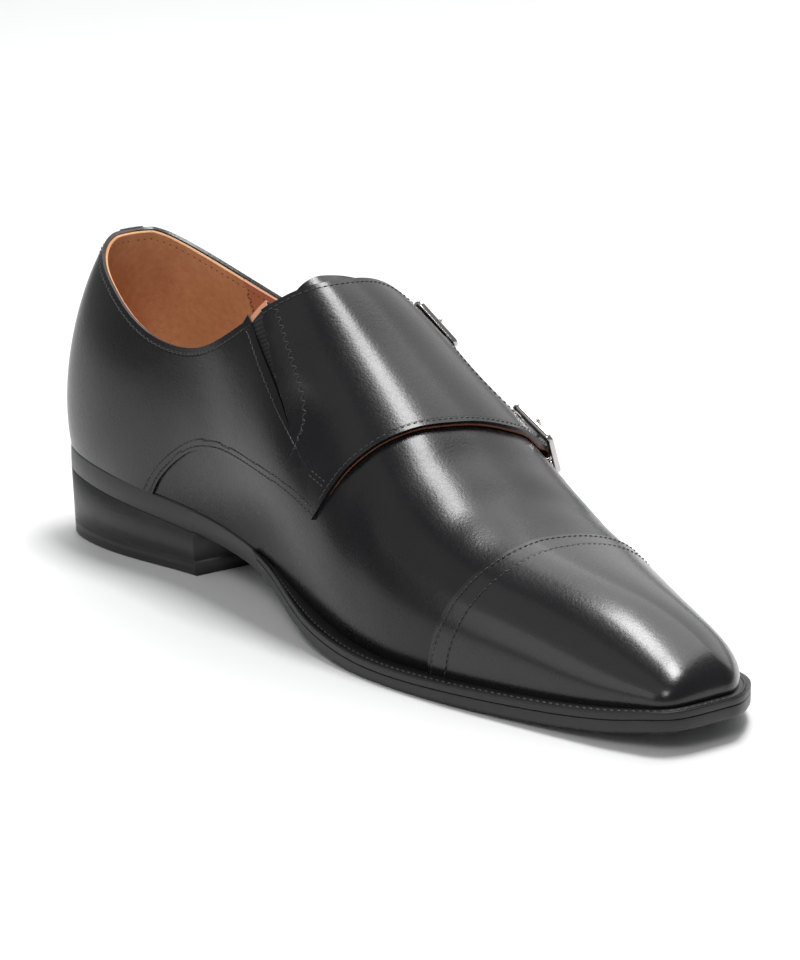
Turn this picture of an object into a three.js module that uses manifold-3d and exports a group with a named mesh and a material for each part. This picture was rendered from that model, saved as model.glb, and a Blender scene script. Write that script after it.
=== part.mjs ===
// Double monk strap shoe with a toe cap, left foot, standing on its leather sole.
// Millimetres, Z up, toe towards -Y, outer (little toe) side towards +X.
//
// Every curved piece is worked out from one surface, the last's: a row runs across the
// shoe from the inner feather line over the instep to the outer feather line.
//   row  distance of the row's feather points from the back of the sole
//   t    place along a row: -1 inner feather, 0 top of the foot, +1 outer feather
import * as THREE from 'three';
import { mergeVertices } from 'three/addons/utils/BufferGeometryUtils.js';
import Module from 'manifold-3d';

const wasm = await Module();
wasm.setup();

// ---------------------------------------------------------------- driving dimensions
const HEEL_Y = 155.1;          // Y of the back of the sole; the shoe's box is then centred
const SHIFT_X = -4.7;          // puts the middle of the shoe's width on X = 0
const CLEAR = 0.3;             // between pieces that touch
const WALL = 2.1;              // vamp and quarters with their lining
const WELT = 2.0;              // thickness of the welt
const FORE_EDGE = 6.2;         // welt and outsole together, from the waist forward
const HEEL_EDGE = 7.6;         // the same band over the heel
const INSOLE = 2.4;
const TONGUE = 1.8;
const PANEL = 1.9;             // leather of the strap panel
const PANEL_LIFT = 0.45;       // clearance of the strap panel over the vamp
const ELASTIC = 1.3;
const WELT_START = 118;        // row where the welt's shelf begins behind the ball
const BREAST = 82;             // row of the heel's front face
const SHELF = 5.6;             // welt beyond the upper at the ball
const TOE_SHELF = 3.8;         // and at the tip of the toe
const HEEL_TAPER = 1.0;        // the heel narrows this much to its top piece

// ---------------------------------------------------------------- tables
function table(names, ...lines) {
  return lines.map((line) => Object.fromEntries(names.map((name, i) => [name, line[i]])));
}

// height of the feather line, where the upper meets the welt
const FEATHER = table(['row', 'z'],
  [0, 32], [30, 29], [70, 24], [110, 19], [150, 12.2], [190, 6.4],
  [220, 6.2], [255, 7.6], [285, 10.3], [308, 14.3]);

// line over the top of the foot: height, and how far it leans to the inner side
const RIDGE = table(['row', 'z', 'x'],
  [0, 112, 0], [50, 115, -8], [90, 114.5, -9], [120, 108, -8], [150, 88, -5], [180, 68.5, -5],
  [210, 50.5, -7], [240, 41, -6], [270, 33.8, -2], [290, 26.2, 1], [308, 18.6, 1]);

// half widths at the feather line, the row's place on the ridge, how far each side bulges
// out over the feather line, how upright the side is and how flat the top is
const SECTIONS = table(['row', 'inner', 'outer', 'ridge', 'bulgeIn', 'bulgeOut', 'rise', 'reach'],
  [5, 0, 0, 34, 6, 6, 0.54, 0.61],
  [10, 24, 20, 36, 5.5, 7, 0.46, 0.54],
  [26, 31, 30, 42, 8, 7, 0.41, 0.5],
  [50, 31, 33.5, 56, 11, 7.5, 0.43, 0.54],
  [80, 26, 36, 80, 13.5, 8, 0.49, 0.61],
  [112, 26.5, 41, 110, 15, 8.5, 0.56, 0.65],
  [142, 32, 47, 140, 14, 8, 0.59, 0.62],
  [172, 38.5, 50, 170, 10.5, 6.5, 0.59, 0.59],
  [200, 40.5, 47, 198, 7.5, 5, 0.62, 0.61],
  [228, 37.5, 39.5, 226, 5, 4, 0.66, 0.64],
  [254, 32, 30.3, 250, 3.5, 2.6, 0.6, 0.62],
  [278, 26, 22, 271, 2.8, 2.4, 0.46, 0.62],
  [295, 21, 12.5, 285, 2.4, 2.2, 0.42, 0.62],
  [301, 17.5, 5.8, 290.5, 2, 2, 0.42, 0.6],
  [302.5, 0, 0, 292.5, 1.8, 1.8, 0.42, 0.6]);

// top line of the opening, seen from the inner and from the outer side
const COLLAR = table(['row', 'inner', 'outer'],
  [18, 100.8, 101], [26, 94.8, 96.2], [38, 89, 89.8], [52, 82.4, 84.2], [64, 78, 80],
  [76, 76.2, 77.6], [88, 77.5, 78.4], [100, 82.2, 81.6], [112, 90.2, 85], [120, 96, 87.5], [132, 104, 93]);

// the strap panel's two long edges, from its inner corner over the instep to the tips
const PANEL_EDGES = table(['t', 'back', 'front'],
  [-0.72, 163.5, 167], [-0.65, 157, 169.2], [-0.58, 148.5, 171.4], [-0.5, 137.5, 173.8], [-0.4, 125.5, 176.6],
  [-0.36, 120.8, 177.6], [-0.3, 124.4, 179], [-0.2, 128.4, 181.2], [-0.1, 131.4, 183], [0, 132.6, 184.4], [0.1, 131.6, 184.4],
  [0.2, 129.8, 184], [0.3, 128.6, 183], [0.38, 128, 180.9], [0.45, 125.5, 178.8], [0.51, 119.8, 176.8],
  [0.6, 110.6, 173], [0.7, 99.2, 169.4], [0.78, 88.6, 166.2], [0.87, 76, 161.8]);

// outlines on the surface, as pairs of row and t
const BETWEEN_STRAPS = [[96, 0.92], [97.5, 0.855], [104.4, 0.803], [119.8, 0.664], [128.4, 0.571],
  [137, 0.475], [141.5, 0.43], [146.5, 0.4], [152.5, 0.387], [158.5, 0.392], [163, 0.418],
  [165, 0.455], [164.7, 0.491], [160.5, 0.606], [156.7, 0.71], [152.9, 0.791], [150.4, 0.84], [149, 0.92]];
const PAST_UPPER_TIP = [[70, 0.74], [92.6, 0.755], [89.8, 0.785], [88.8, 0.812], [90, 0.838], [94, 0.852],
  [98.6, 0.846], [104, 0.88], [104, 0.93], [70, 0.93]];
const PAST_LOWER_TIP = [[140, 0.81], [150.9, 0.822], [152, 0.846], [155.5, 0.861], [159.8, 0.861],
  [163.2, 0.848], [174, 0.83], [174, 0.93], [140, 0.93]];
// front edge of the inner quarter, beside the elastic, and the throat that starts along it
const QUARTER_EDGE = table(['row', 't'], [113.5, -0.416], [123.5, -0.473], [135.5, -0.52], [148, -0.58]);
const THROAT = [[100, -0.38], ...QUARTER_EDGE.map(({ row, t }) => [row, t]), [151, -0.565],
  [155, -0.42], [160, -0.29], [166, -0.15], [169, 0], [167, 0.12], [160, 0.22], [148, 0.27],
  [136, 0.29], [124, 0.33], [100, 0.4]];

// where each buckle sits, and the direction its strap leaves it towards the instep
const BUCKLES = [
  { name: 'upper', at: [124, 0.54], towards: [134, 0.433], hang: [110, 0.68] },
  { name: 'lower', at: [166.4, 0.61], towards: [170.4, 0.5], hang: [162.4, 0.72] },
];
const FRAME = { halfLong: 10, halfWide: 9.6, frontBar: 3, backBar: 2, sideBar: 1.8, thick: 2, corner: 2.4 };
const FRAME_BASE = 2.7;        // underside of the frame over the tangent plane
const STRAP_BUMP = 2.6;        // the strap climbs this much over the centre bar
const BUMP_LENGTH = 4.2;
const CENTRE_BAR = { base: 0.45, thick: 1.2, halfLong: 1 };
const PRONG_WIDE = 1.7;

// ---------------------------------------------------------------- curves
// natural cubic spline through the points (xs, ys)
function spline(xs, ys) {
  const n = xs.length;
  const bend = new Array(n).fill(0);
  const work = new Array(n).fill(0);
  for (let i = 1; i < n - 1; i++) {
    const share = (xs[i] - xs[i - 1]) / (xs[i + 1] - xs[i - 1]);
    const p = share * bend[i - 1] + 2;
    const turn = (ys[i + 1] - ys[i]) / (xs[i + 1] - xs[i]) - (ys[i] - ys[i - 1]) / (xs[i] - xs[i - 1]);
    bend[i] = (share - 1) / p;
    work[i] = (6 * turn / (xs[i + 1] - xs[i - 1]) - share * work[i - 1]) / p;
  }
  for (let i = n - 2; i >= 0; i--) bend[i] = bend[i] * bend[i + 1] + work[i];
  return (x) => {
    let k = 0;
    while (k < n - 2 && x > xs[k + 1]) k++;
    const h = xs[k + 1] - xs[k];
    const a = (xs[k + 1] - x) / h;
    const b = 1 - a;
    return a * ys[k] + b * ys[k + 1] + ((a ** 3 - a) * bend[k] + (b ** 3 - b) * bend[k + 1]) * h * h / 6;
  };
}

function columnSpline(rows, x, y) {
  return spline(rows.map((row) => row[x]), rows.map((row) => row[y]));
}

function smoothstep(from, to, x) {
  const k = THREE.MathUtils.clamp((x - from) / (to - from), 0, 1);
  return k * k * (3 - 2 * k);
}

// straight steps between the rows of a table
function between(rows, x, y) {
  return (at) => {
    let k = 0;
    while (k < rows.length - 2 && at > rows[k + 1][x]) k++;
    const part = (at - rows[k][x]) / (rows[k + 1][x] - rows[k][x]);
    return THREE.MathUtils.lerp(rows[k][y], rows[k + 1][y], part);
  };
}

const featherZ = columnSpline(FEATHER, 'row', 'z');
const ridgeZ = columnSpline(RIDGE, 'row', 'z');
const ridgeX = columnSpline(RIDGE, 'row', 'x');

// The sections are splined along the outline's own length. Three mirrored rows at each
// end close the heel and the toe with a round.
function sectionSplines() {
  const length = [0];
  for (let i = 1; i < SECTIONS.length; i++) {
    const [p, q] = [SECTIONS[i - 1], SECTIONS[i]];
    const wider = (q.inner + q.outer - p.inner - p.outer) / 2;
    length.push(length[i - 1] + Math.hypot(q.row - p.row, wider));
  }
  const last = SECTIONS.length - 1;
  const order = [];
  for (let i = -3; i <= last + 3; i++) {
    const k = last - Math.abs(last - Math.abs(i));
    let along = length[k];
    if (i < 0) along = -length[k];
    if (i > last) along = 2 * length[last] - length[k];
    order.push({ k, along, sign: i < 0 || i > last ? -1 : 1 });
  }
  const splines = {};
  for (const name of Object.keys(SECTIONS[0])) {
    const odd = name === 'inner' || name === 'outer';
    const values = order.map(({ k, sign }) => SECTIONS[k][name] * (odd ? sign : 1));
    splines[name] = spline(order.map(({ along }) => along), values);
  }
  return { splines, total: length[last] };
}

const { splines: SECTION, total: OUTLINE } = sectionSplines();

// u (0 heel to 1 toe) of a row, by halving
function uOfRow(row) {
  let [low, high] = [0, 1];
  for (let i = 0; i < 30; i++) {
    const middle = (low + high) / 2;
    if (SECTION.row(middle * OUTLINE) < row) low = middle;
    else high = middle;
  }
  return (low + high) / 2;
}

// feather point and outward direction in plan, on side -1 (inner) or +1 (outer)
function feather(u, side) {
  const name = side < 0 ? 'inner' : 'outer';
  const at = u * OUTLINE;
  const step = 0.01;
  const tip = u === 0 || u === 1;
  const ds = tip ? 0 : (SECTION.row(at + step) - SECTION.row(at - step)) / (2 * step);
  const dh = (SECTION[name](at + step) - SECTION[name](at - step)) / (2 * step);
  const size = Math.hypot(ds, dh);
  return {
    x: side * SECTION[name](at), row: SECTION.row(at),
    nx: side * ds / size, nr: -dh / size,
  };
}

function place(x, row, z) {
  return new THREE.Vector3(x + SHIFT_X, HEEL_Y - row, z);
}

// Point of the last's surface: a cubic curve from the feather line to the ridge that first
// bulges out and rises, then comes in level over the top of the foot.
function lastPoint(u, t) {
  const side = t < 0 ? -1 : 1;
  const foot = feather(u, side);
  const at = u * OUTLINE;
  const bulge = side < 0 ? SECTION.bulgeIn(at) : SECTION.bulgeOut(at);
  const top = SECTION.ridge(at);
  const slope = (ridgeZ(top + 0.05) - ridgeZ(top - 0.05)) / 0.1;
  const [x3, z3] = [ridgeX(top), ridgeZ(top)];
  const z0 = featherZ(foot.row);
  const reach = SECTION.reach(at);
  const w = 1 - Math.abs(t);
  const b = [(1 - w) ** 3, 3 * (1 - w) ** 2 * w, 3 * (1 - w) * w * w, w ** 3];
  const xs = [foot.x, foot.x + foot.nx * bulge, x3 + reach * (foot.x - x3), x3];
  const rs = [foot.row, foot.row + foot.nr * bulge, top + reach * (foot.row - top), top];
  const zs = [z0, z0 + SECTION.rise(at) * (z3 - z0), z3 + slope * reach * (foot.row - top), z3];
  const mix = (v) => b[0] * v[0] + b[1] * v[1] + b[2] * v[2] + b[3] * v[3];
  return place(mix(xs), mix(rs), mix(zs));
}

function outward(u, t) {
  const step = 0.002;
  const [u0, u1] = [Math.max(u - step, 0), Math.min(u + step, 1)];
  const [t0, t1] = [Math.max(t - step, -1), Math.min(t + step, 1)];
  const along = lastPoint(u1, t).sub(lastPoint(u0, t));
  const across = lastPoint(u, t1).sub(lastPoint(u, t0));
  return along.cross(across).normalize();
}

// Point at a distance from the surface. At the heel and toe ends both halves of the row
// lie on each other, so they share one normal.
function skin(u, t, distance) {
  const normal = outward(u, t);
  if (u === 0 || u === 1) normal.add(outward(u, -t)).normalize();
  return lastPoint(u, t).addScaledVector(normal, distance);
}

// ---------------------------------------------------------------- solids
// A solid from closed loops of points, one loop after another. Ends that don't close on
// themselves get a ladder of faces between the loop's first half and its second.
function loft(loops, capped = false) {
  const count = loops[0].length;
  const points = loops.flat();
  const faces = [];
  for (let i = 0; i < loops.length - 1; i++) {
    for (let j = 0; j < count; j++) {
      const [a, b] = [i * count + j, i * count + (j + 1) % count];
      faces.push([a, b, b + count], [a, b + count, a + count]);
    }
  }
  if (capped) {
    const end = (loops.length - 1) * count;
    for (let j = 0; j < count / 2 - 1; j++) {
      const [a, b, c, d] = [j, j + 1, count - 2 - j, count - 1 - j];
      faces.push([a, c, b], [a, d, c]);
      faces.push([end + a, end + b, end + c], [end + a, end + c, end + d]);
    }
  }
  return solid(points, faces);
}

// a closed solid over an outline on the surface, between two distances from it
function plug(outline, low, high) {
  const ring = outline.map(([row, t]) => [uOfRow(row), t]);
  const flat = outline.map(([row, t]) => new THREE.Vector2(row, 75 * t));
  return prism(ring.map(([u, t]) => skin(u, t, low)), ring.map(([u, t]) => skin(u, t, high)), flat);
}

function prism(lower, upper, flat) {
  const n = lower.length;
  const faces = [];
  for (const [a, b, c] of THREE.ShapeUtils.triangulateShape(flat, [])) {
    faces.push([a, c, b], [a + n, b + n, c + n]);
  }
  const turn = THREE.ShapeUtils.isClockWise(flat) ? -1 : 1;
  for (let i = 0; i < n; i++) {
    const j = (i + 1) % n;
    const wall = turn > 0 ? [[i, j, j + n], [i, j + n, i + n]] : [[j, i, i + n], [j, i + n, j + n]];
    faces.push(...wall);
  }
  return solid([...lower, ...upper], faces);
}

// merged points, no flat faces, faces outwards, as a solid for cutting and joining
function solid(points, faces) {
  const geometry = new THREE.BufferGeometry().setFromPoints(points);
  geometry.setIndex(faces.flat());
  return fromGeometry(geometry);
}

function fromGeometry(geometry) {
  const bare = geometry.clone();
  bare.deleteAttribute('normal');
  bare.deleteAttribute('uv');
  const merged = mergeVertices(bare, 1e-3);
  const vertices = merged.attributes.position.array;
  const index = merged.index.array;
  const point = (i) => new THREE.Vector3().fromArray(vertices, 3 * i);
  const kept = [];
  let volume = 0;
  for (let f = 0; f < index.length; f += 3) {
    const [a, b, c] = index.slice(f, f + 3);
    if (a === b || b === c || c === a) continue;
    kept.push(a, b, c);
    volume += point(a).dot(point(b).cross(point(c)));
  }
  if (volume < 0) kept.reverse();
  const mesh = new wasm.Mesh({
    numProp: 3, vertProperties: new Float32Array(vertices), triVerts: new Uint32Array(kept),
  });
  return new wasm.Manifold(mesh);
}

function steps(from, to, count) {
  return Array.from({ length: count + 1 }, (_, i) => from + (to - from) * i / count);
}

// ---------------------------------------------------------------- upper
const ROWS_OUT = 52;
const ROWS_IN = 40;

// the last's form at a distance from its surface, closed below the feather line
function lastForm(distance, drop, rows, across) {
  const loops = steps(0, 1, rows).map((u) => {
    const loop = steps(-1, 1, across).map((t) => skin(u, t, distance));
    const [inner, outer] = [loop[0], loop[loop.length - 1]];
    const down = new THREE.Vector3(0, 0, -drop);
    loop.push(outer.clone().add(down), outer.clone().lerp(inner, 0.5).add(down), inner.clone().add(down));
    return loop;
  });
  return loft(loops);
}

// everything over the top line: a form whose lower edge runs from one side's curve to the other's
function aboveCollar() {
  const reach = 60;
  const collarX = 28;
  const [inner, outer] = [columnSpline(COLLAR, 'row', 'inner'), columnSpline(COLLAR, 'row', 'outer')];
  const rows = steps(18, 132, 24);
  const side = (sign) => {
    const low = rows.map((row) => {
      const middle = (inner(row) + outer(row)) / 2;
      const tilt = (outer(row) - inner(row)) / 2;
      return place(sign * reach, row, middle + sign * tilt * reach / collarX);
    });
    return [place(sign * reach, -40, 101.5), ...low, place(sign * reach, 132, 200), place(sign * reach, -40, 200)];
  };
  const [left, right] = [side(-1), side(1)];
  const flat = left.map((p) => new THREE.Vector2(p.y, p.z));
  return prism(left, right, flat);
}

function makeUpper() {
  const hull = lastForm(0, 0, ROWS_OUT, 20);
  const inside = lastForm(-WALL, 8, ROWS_IN, 14);
  return hull.subtract(inside).subtract(aboveCollar()).subtract(plug(THROAT, -9, 45));
}

// ---------------------------------------------------------------- sole
function shelf(row) {
  const fore = smoothstep(WELT_START - 8, 172, row) * (SHELF - 0.4);
  const tip = smoothstep(284, 302, row) * (SHELF - TOE_SHELF);
  return 0.4 + fore - tip;
}

// a point of the outline at a distance outside the feather line
function edgePoint(u, side, distance, z) {
  const foot = feather(u, side);
  const row = foot.row + foot.nr * distance;
  return place(foot.x + foot.nx * distance, row, z(row));
}

// a layer over the whole width: the loop goes over the top from side to side and back below
function layerLoop(u, topEdge, bottomEdge, zTop, zBottom) {
  const across = [0, 0.25, 0.5, 0.75, 1];
  const [a, b] = [edgePoint(u, -1, topEdge, zTop), edgePoint(u, 1, topEdge, zTop)];
  const [c, d] = [edgePoint(u, 1, bottomEdge, zBottom), edgePoint(u, -1, bottomEdge, zBottom)];
  return [...across.map((k) => a.clone().lerp(b, k)), ...across.map((k) => c.clone().lerp(d, k))];
}

const weltTop = (row) => featherZ(row) - CLEAR;
const weltBottom = (row) => weltTop(row) - WELT;
const edgeThickness = (row) => FORE_EDGE + (HEEL_EDGE - FORE_EDGE) * (1 - smoothstep(80, 125, row));
const groundShift = 0.15;      // sinks the ball a little, so its lowest stretch is cut flat
const soleBottom = (row) => Math.max(featherZ(row) - edgeThickness(row) - groundShift, 0);

function makeOutsole() {
  const step = uOfRow(WELT_START);
  const back = steps(0, step, 16).map((u) => {
    const out = shelf(feather(u, 1).row);
    return layerLoop(u, out, out, weltTop, soleBottom);
  });
  const front = steps(step, 1, 34).map((u) => {
    const out = shelf(feather(u, 1).row);
    return layerLoop(u, out, out, (row) => weltBottom(row) - CLEAR, soleBottom);
  });
  return loft([...back, ...front]);
}

// a flat strip round the front of the shoe, from the waist round the toe to the waist
function makeWelt() {
  const start = uOfRow(WELT_START) + 0.001;
  const inward = 11;
  const us = steps(start, 0.985, 34);
  const section = (u, side) => {
    const out = shelf(feather(u, 1).row);
    const under = Math.min(inward, 0.6 * Math.abs(feather(u, side).x));
    return [edgePoint(u, side, -under, weltTop), edgePoint(u, side, out, weltTop),
      edgePoint(u, side, out, weltBottom), edgePoint(u, side, -under, weltBottom)];
  };
  const tip = [0.993, 1].map((u) => section(u, -1));
  const tipBack = [0.993].map((u) => section(u, 1));
  const loops = [...us.map((u) => section(u, -1)), ...tip, ...tipBack, ...us.reverse().map((u) => section(u, 1))];
  return loft(loops, true);
}

function makeHeel() {
  const top = (row) => featherZ(row) - edgeThickness(row) - groundShift - CLEAR;
  const loops = steps(0, uOfRow(BREAST), 16).map((u) => {
    const out = shelf(feather(u, 1).row);
    return layerLoop(u, out, out - HEEL_TAPER, top, () => 0);
  });
  return loft(loops, true);
}

function makeInsole() {
  const inset = -(WALL + 1);
  const base = (row) => featherZ(row) + 0.05;
  const loops = steps(0.012, 0.975, 40).map((u) => layerLoop(u, inset, inset, (row) => base(row) + INSOLE, base));
  return loft(loops, true);
}

// ---------------------------------------------------------------- sheets on the surface
// a sheet between two distances, from the row back(t) to the row front(t)
function sheet(ts, across, back, front, low, high, lift = () => 0) {
  const loops = ts.map((t) => {
    const us = steps(0, 1, across).map((k) => uOfRow(THREE.MathUtils.lerp(back(t), front(t), k)));
    const upper = us.map((u) => raised(u, t, high, lift));
    const lower = us.map((u) => raised(u, t, low, lift));
    return [...upper, ...lower.reverse()];
  });
  return loft(loops, true);
}

function raised(u, t, distance, lift) {
  return skin(u, t, distance + lift(skin(u, t, 0)));
}

function makeTongue() {
  const back = (t) => 128.2 + 5 * t - 72 * t * t + 900 * Math.max(Math.abs(t) - 0.17, 0) ** 2;
  const front = (t) => 165 - 300 * t * t;
  return sheet(steps(-0.25, 0.25, 12), 8, back, front, -0.2 - TONGUE, -0.2);
}

// the elastic's wedge behind the strap panel's inner edge; it passes under the panel
function makeGore() {
  const quarter = between(QUARTER_EDGE, 'row', 't');
  const clear = 0.014;
  const loops = steps(0, 1, 8).map((k) => {
    const row = THREE.MathUtils.lerp(114.5, 146.5, k);
    const behind = [row, quarter(row) + clear];
    const ahead = [THREE.MathUtils.lerp(127, 149, k), -0.29 - 0.25 * k];
    const line = steps(0, 1, 3).map((m) => [
      THREE.MathUtils.lerp(behind[0], ahead[0], m), THREE.MathUtils.lerp(behind[1], ahead[1], m)]);
    const upper = line.map(([row, t]) => skin(uOfRow(row), t, -0.4));
    const lower = line.map(([row, t]) => skin(uOfRow(row), t, -0.4 - ELASTIC));
    return [...upper, ...lower.reverse()];
  });
  return loft(loops, true);
}

// ---------------------------------------------------------------- buckles
// the buckle's own axes: x towards the instep along the strap, y across it, z out of the leather
function buckleFrame({ at, towards, hang }) {
  const centre = skin(uOfRow(at[0]), at[1], 0);
  const ahead = skin(uOfRow(towards[0]), towards[1], 0);
  const behind = skin(uOfRow(hang[0]), hang[1], 0);
  const out = outward(uOfRow(at[0]), at[1]);
  const along = ahead.clone().sub(behind).normalize();
  along.addScaledVector(out, -along.dot(out)).normalize();
  const across = out.clone().cross(along);
  return new THREE.Matrix4().makeBasis(along, across, out).setPosition(centre);
}

const MATRICES = BUCKLES.map(buckleFrame);

// the strap climbs over each buckle's centre bar
function strapLift(point) {
  let lift = 0;
  for (const matrix of MATRICES) {
    const local = point.clone().applyMatrix4(matrix.clone().invert());
    const near = Math.exp(-((local.x / BUMP_LENGTH) ** 2)) * (1 - smoothstep(9, 13, Math.abs(local.y)));
    lift += Math.abs(local.z) < 12 ? STRAP_BUMP * near : 0;
  }
  return lift;
}

function roundedBox(path, x0, x1, y0, y1, r) {
  path.moveTo(x0 + r, y0);
  path.lineTo(x1 - r, y0);
  path.absarc(x1 - r, y0 + r, r, -Math.PI / 2, 0);
  path.lineTo(x1, y1 - r);
  path.absarc(x1 - r, y1 - r, r, 0, Math.PI / 2);
  path.lineTo(x0 + r, y1);
  path.absarc(x0 + r, y1 - r, r, Math.PI / 2, Math.PI);
  path.lineTo(x0, y0 + r);
  path.absarc(x0 + r, y0 + r, r, Math.PI, Math.PI * 1.5);
  return path;
}

function makeFrame(matrix) {
  const f = FRAME;
  const outline = roundedBox(new THREE.Shape(), -f.halfLong, f.halfLong, -f.halfWide, f.halfWide, f.corner);
  const hole = roundedBox(new THREE.Path(), -f.halfLong + f.backBar, f.halfLong - f.frontBar,
    -f.halfWide + f.sideBar, f.halfWide - f.sideBar, 1);
  outline.holes.push(hole);
  const ring = new THREE.ExtrudeGeometry(outline, { depth: f.thick, bevelEnabled: false, curveSegments: 4 });
  ring.translate(0, 0, FRAME_BASE);
  const bar = CENTRE_BAR;
  const barDeep = FRAME_BASE + 0.5 - bar.base;
  const centre = new THREE.BoxGeometry(2 * bar.halfLong, 2 * f.halfWide - 1, bar.thick);
  centre.translate(0, 0, bar.base + bar.thick / 2);
  let whole = fromGeometry(ring.applyMatrix4(matrix)).add(fromGeometry(centre.applyMatrix4(matrix)));
  for (const side of [-1, 1]) {
    const post = new THREE.BoxGeometry(2 * bar.halfLong, 1, barDeep);
    post.translate(0, side * (f.halfWide - 1), bar.base + barDeep / 2);
    whole = whole.add(fromGeometry(post.applyMatrix4(matrix)));
  }
  return whole;
}

// side view of the prong: up through the strap, forward and down onto the front bar
function makeProng(matrix) {
  const foot = CENTRE_BAR.base + CENTRE_BAR.thick + CLEAR;
  const rest = FRAME_BASE + FRAME.thick + CLEAR;
  const profile = new THREE.Shape([[-0.6, foot], [0.9, foot], [0.9, 5.2], [2.2, 5.2], [6.6, rest], [9.4, rest],
    [9.4, rest + 1.1], [6.8, rest + 1.3], [1.8, 6.6], [-0.6, 6.4]].map(([x, z]) => new THREE.Vector2(x, z)));
  const body = new THREE.ExtrudeGeometry(profile, { depth: PRONG_WIDE, bevelEnabled: false });
  body.translate(0, 0, -PRONG_WIDE / 2);
  body.rotateX(Math.PI / 2);
  return fromGeometry(body.applyMatrix4(matrix));
}

function makePanel() {
  const ts = steps(-0.72, 0.87, 56);
  const [back, front] = [between(PANEL_EDGES, 't', 'back'), between(PANEL_EDGES, 't', 'front')];
  let panel = sheet(ts, 15, back, front, PANEL_LIFT, PANEL_LIFT + PANEL, strapLift);
  for (const outline of [BETWEEN_STRAPS, PAST_UPPER_TIP, PAST_LOWER_TIP]) {
    panel = panel.subtract(plug(outline, -4, 30));
  }
  for (const matrix of MATRICES) {
    const hole = new THREE.BoxGeometry(2.2, PRONG_WIDE + 0.8, 8);
    hole.translate(0.15, 0, 4);
    panel = panel.subtract(fromGeometry(hole.applyMatrix4(matrix)));
  }
  return panel;
}

// ---------------------------------------------------------------- the shoe
const LEATHER = { color: 0x1d1c20, roughness: 0.38, metalness: 0 };
const EDGE = { color: 0x17161a, roughness: 0.5, metalness: 0 };
const LINING = { color: 0xb8763f, roughness: 0.8, metalness: 0 };
const WEBBING = { color: 0x161518, roughness: 0.85, metalness: 0 };
const STEEL = { color: 0xc9c7c4, roughness: 0.2, metalness: 1 };

function addMesh(group, name, manifold, look) {
  const { vertProperties, triVerts, numProp } = manifold.getMesh();
  const geometry = new THREE.BufferGeometry();
  const positions = new Float32Array(vertProperties.length / numProp * 3);
  for (let i = 0; i < positions.length / 3; i++) {
    positions.set(vertProperties.slice(i * numProp, i * numProp + 3), 3 * i);
  }
  geometry.setAttribute('position', new THREE.BufferAttribute(positions, 3));
  geometry.setIndex(Array.from(triVerts));
  const mesh = new THREE.Mesh(geometry, new THREE.MeshStandardMaterial(look));
  mesh.name = name;
  group.add(mesh);
}

const shoe = new THREE.Group();
addMesh(shoe, 'outsole', makeOutsole(), EDGE);
addMesh(shoe, 'welt', makeWelt(), EDGE);
addMesh(shoe, 'heel', makeHeel(), EDGE);
addMesh(shoe, 'insole', makeInsole(), LINING);
addMesh(shoe, 'upper', makeUpper(), LEATHER);
addMesh(shoe, 'tongue', makeTongue(), LEATHER);
addMesh(shoe, 'gore', makeGore(), WEBBING);
addMesh(shoe, 'strap_panel', makePanel(), LEATHER);
BUCKLES.forEach(({ name }, i) => {
  addMesh(shoe, `buckle_${name}`, makeFrame(MATRICES[i]), STEEL);
  addMesh(shoe, `prong_${name}`, makeProng(MATRICES[i]), STEEL);
});

export default shoe;
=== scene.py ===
"""Double monk strap shoe with a toe cap, left foot: black leather on a leather sole.

Millimetres inside the functions, metres in the meshes. Z is up, the toe points to -Y and
the outer side is +X. The solid frame is loaded first, and every piece is laid on it.
"""
import math

import bpy
import numpy as np
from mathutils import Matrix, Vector


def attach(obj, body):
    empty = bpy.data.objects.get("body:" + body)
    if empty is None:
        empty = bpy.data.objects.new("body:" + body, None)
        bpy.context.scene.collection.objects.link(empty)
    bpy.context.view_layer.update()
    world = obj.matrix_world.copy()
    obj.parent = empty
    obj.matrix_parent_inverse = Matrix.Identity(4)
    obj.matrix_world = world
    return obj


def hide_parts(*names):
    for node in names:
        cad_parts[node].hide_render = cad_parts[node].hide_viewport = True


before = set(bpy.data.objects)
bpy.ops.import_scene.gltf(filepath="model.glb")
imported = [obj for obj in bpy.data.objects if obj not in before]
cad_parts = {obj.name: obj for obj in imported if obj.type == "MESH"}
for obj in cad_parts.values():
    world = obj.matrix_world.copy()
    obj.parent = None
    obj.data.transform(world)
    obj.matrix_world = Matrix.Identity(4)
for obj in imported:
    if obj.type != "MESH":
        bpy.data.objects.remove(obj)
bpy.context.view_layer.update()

# ------------------------------------------------------------------ studio
# A pale sweep under soft boxes. The camera stands before the toe on the shoe's inner side,
# a third of a metre over the floor, with a long lens aimed at the middle of the shoe.
camera = bpy.data.objects.new("camera", bpy.data.cameras.new("camera"))
camera.location = (-0.686, -0.868, 0.350)
look = Vector((-0.013, -0.012, 0.048)) - camera.location
camera.rotation_euler = look.to_track_quat("-Z", "Y").to_euler()
camera.data.lens = 139
camera.data.sensor_width = 36
camera.data.clip_end = 20
bpy.context.collection.objects.link(camera)
bpy.context.scene.camera = camera
bpy.context.scene.view_settings.view_transform = "Standard"


def softbox(name, place, aim, width, height, watts):
    """A rectangular lamp at a place, turned so that it shines at another."""
    lamp = bpy.data.objects.new(name, bpy.data.lights.new(name, "AREA"))
    lamp.data.shape = "RECTANGLE"
    lamp.data.size, lamp.data.size_y = width, height
    lamp.data.energy = watts
    lamp.location = place
    lamp.rotation_euler = (Vector(aim) - Vector(place)).to_track_quat("-Z", "Y").to_euler()
    bpy.context.collection.objects.link(lamp)


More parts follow.
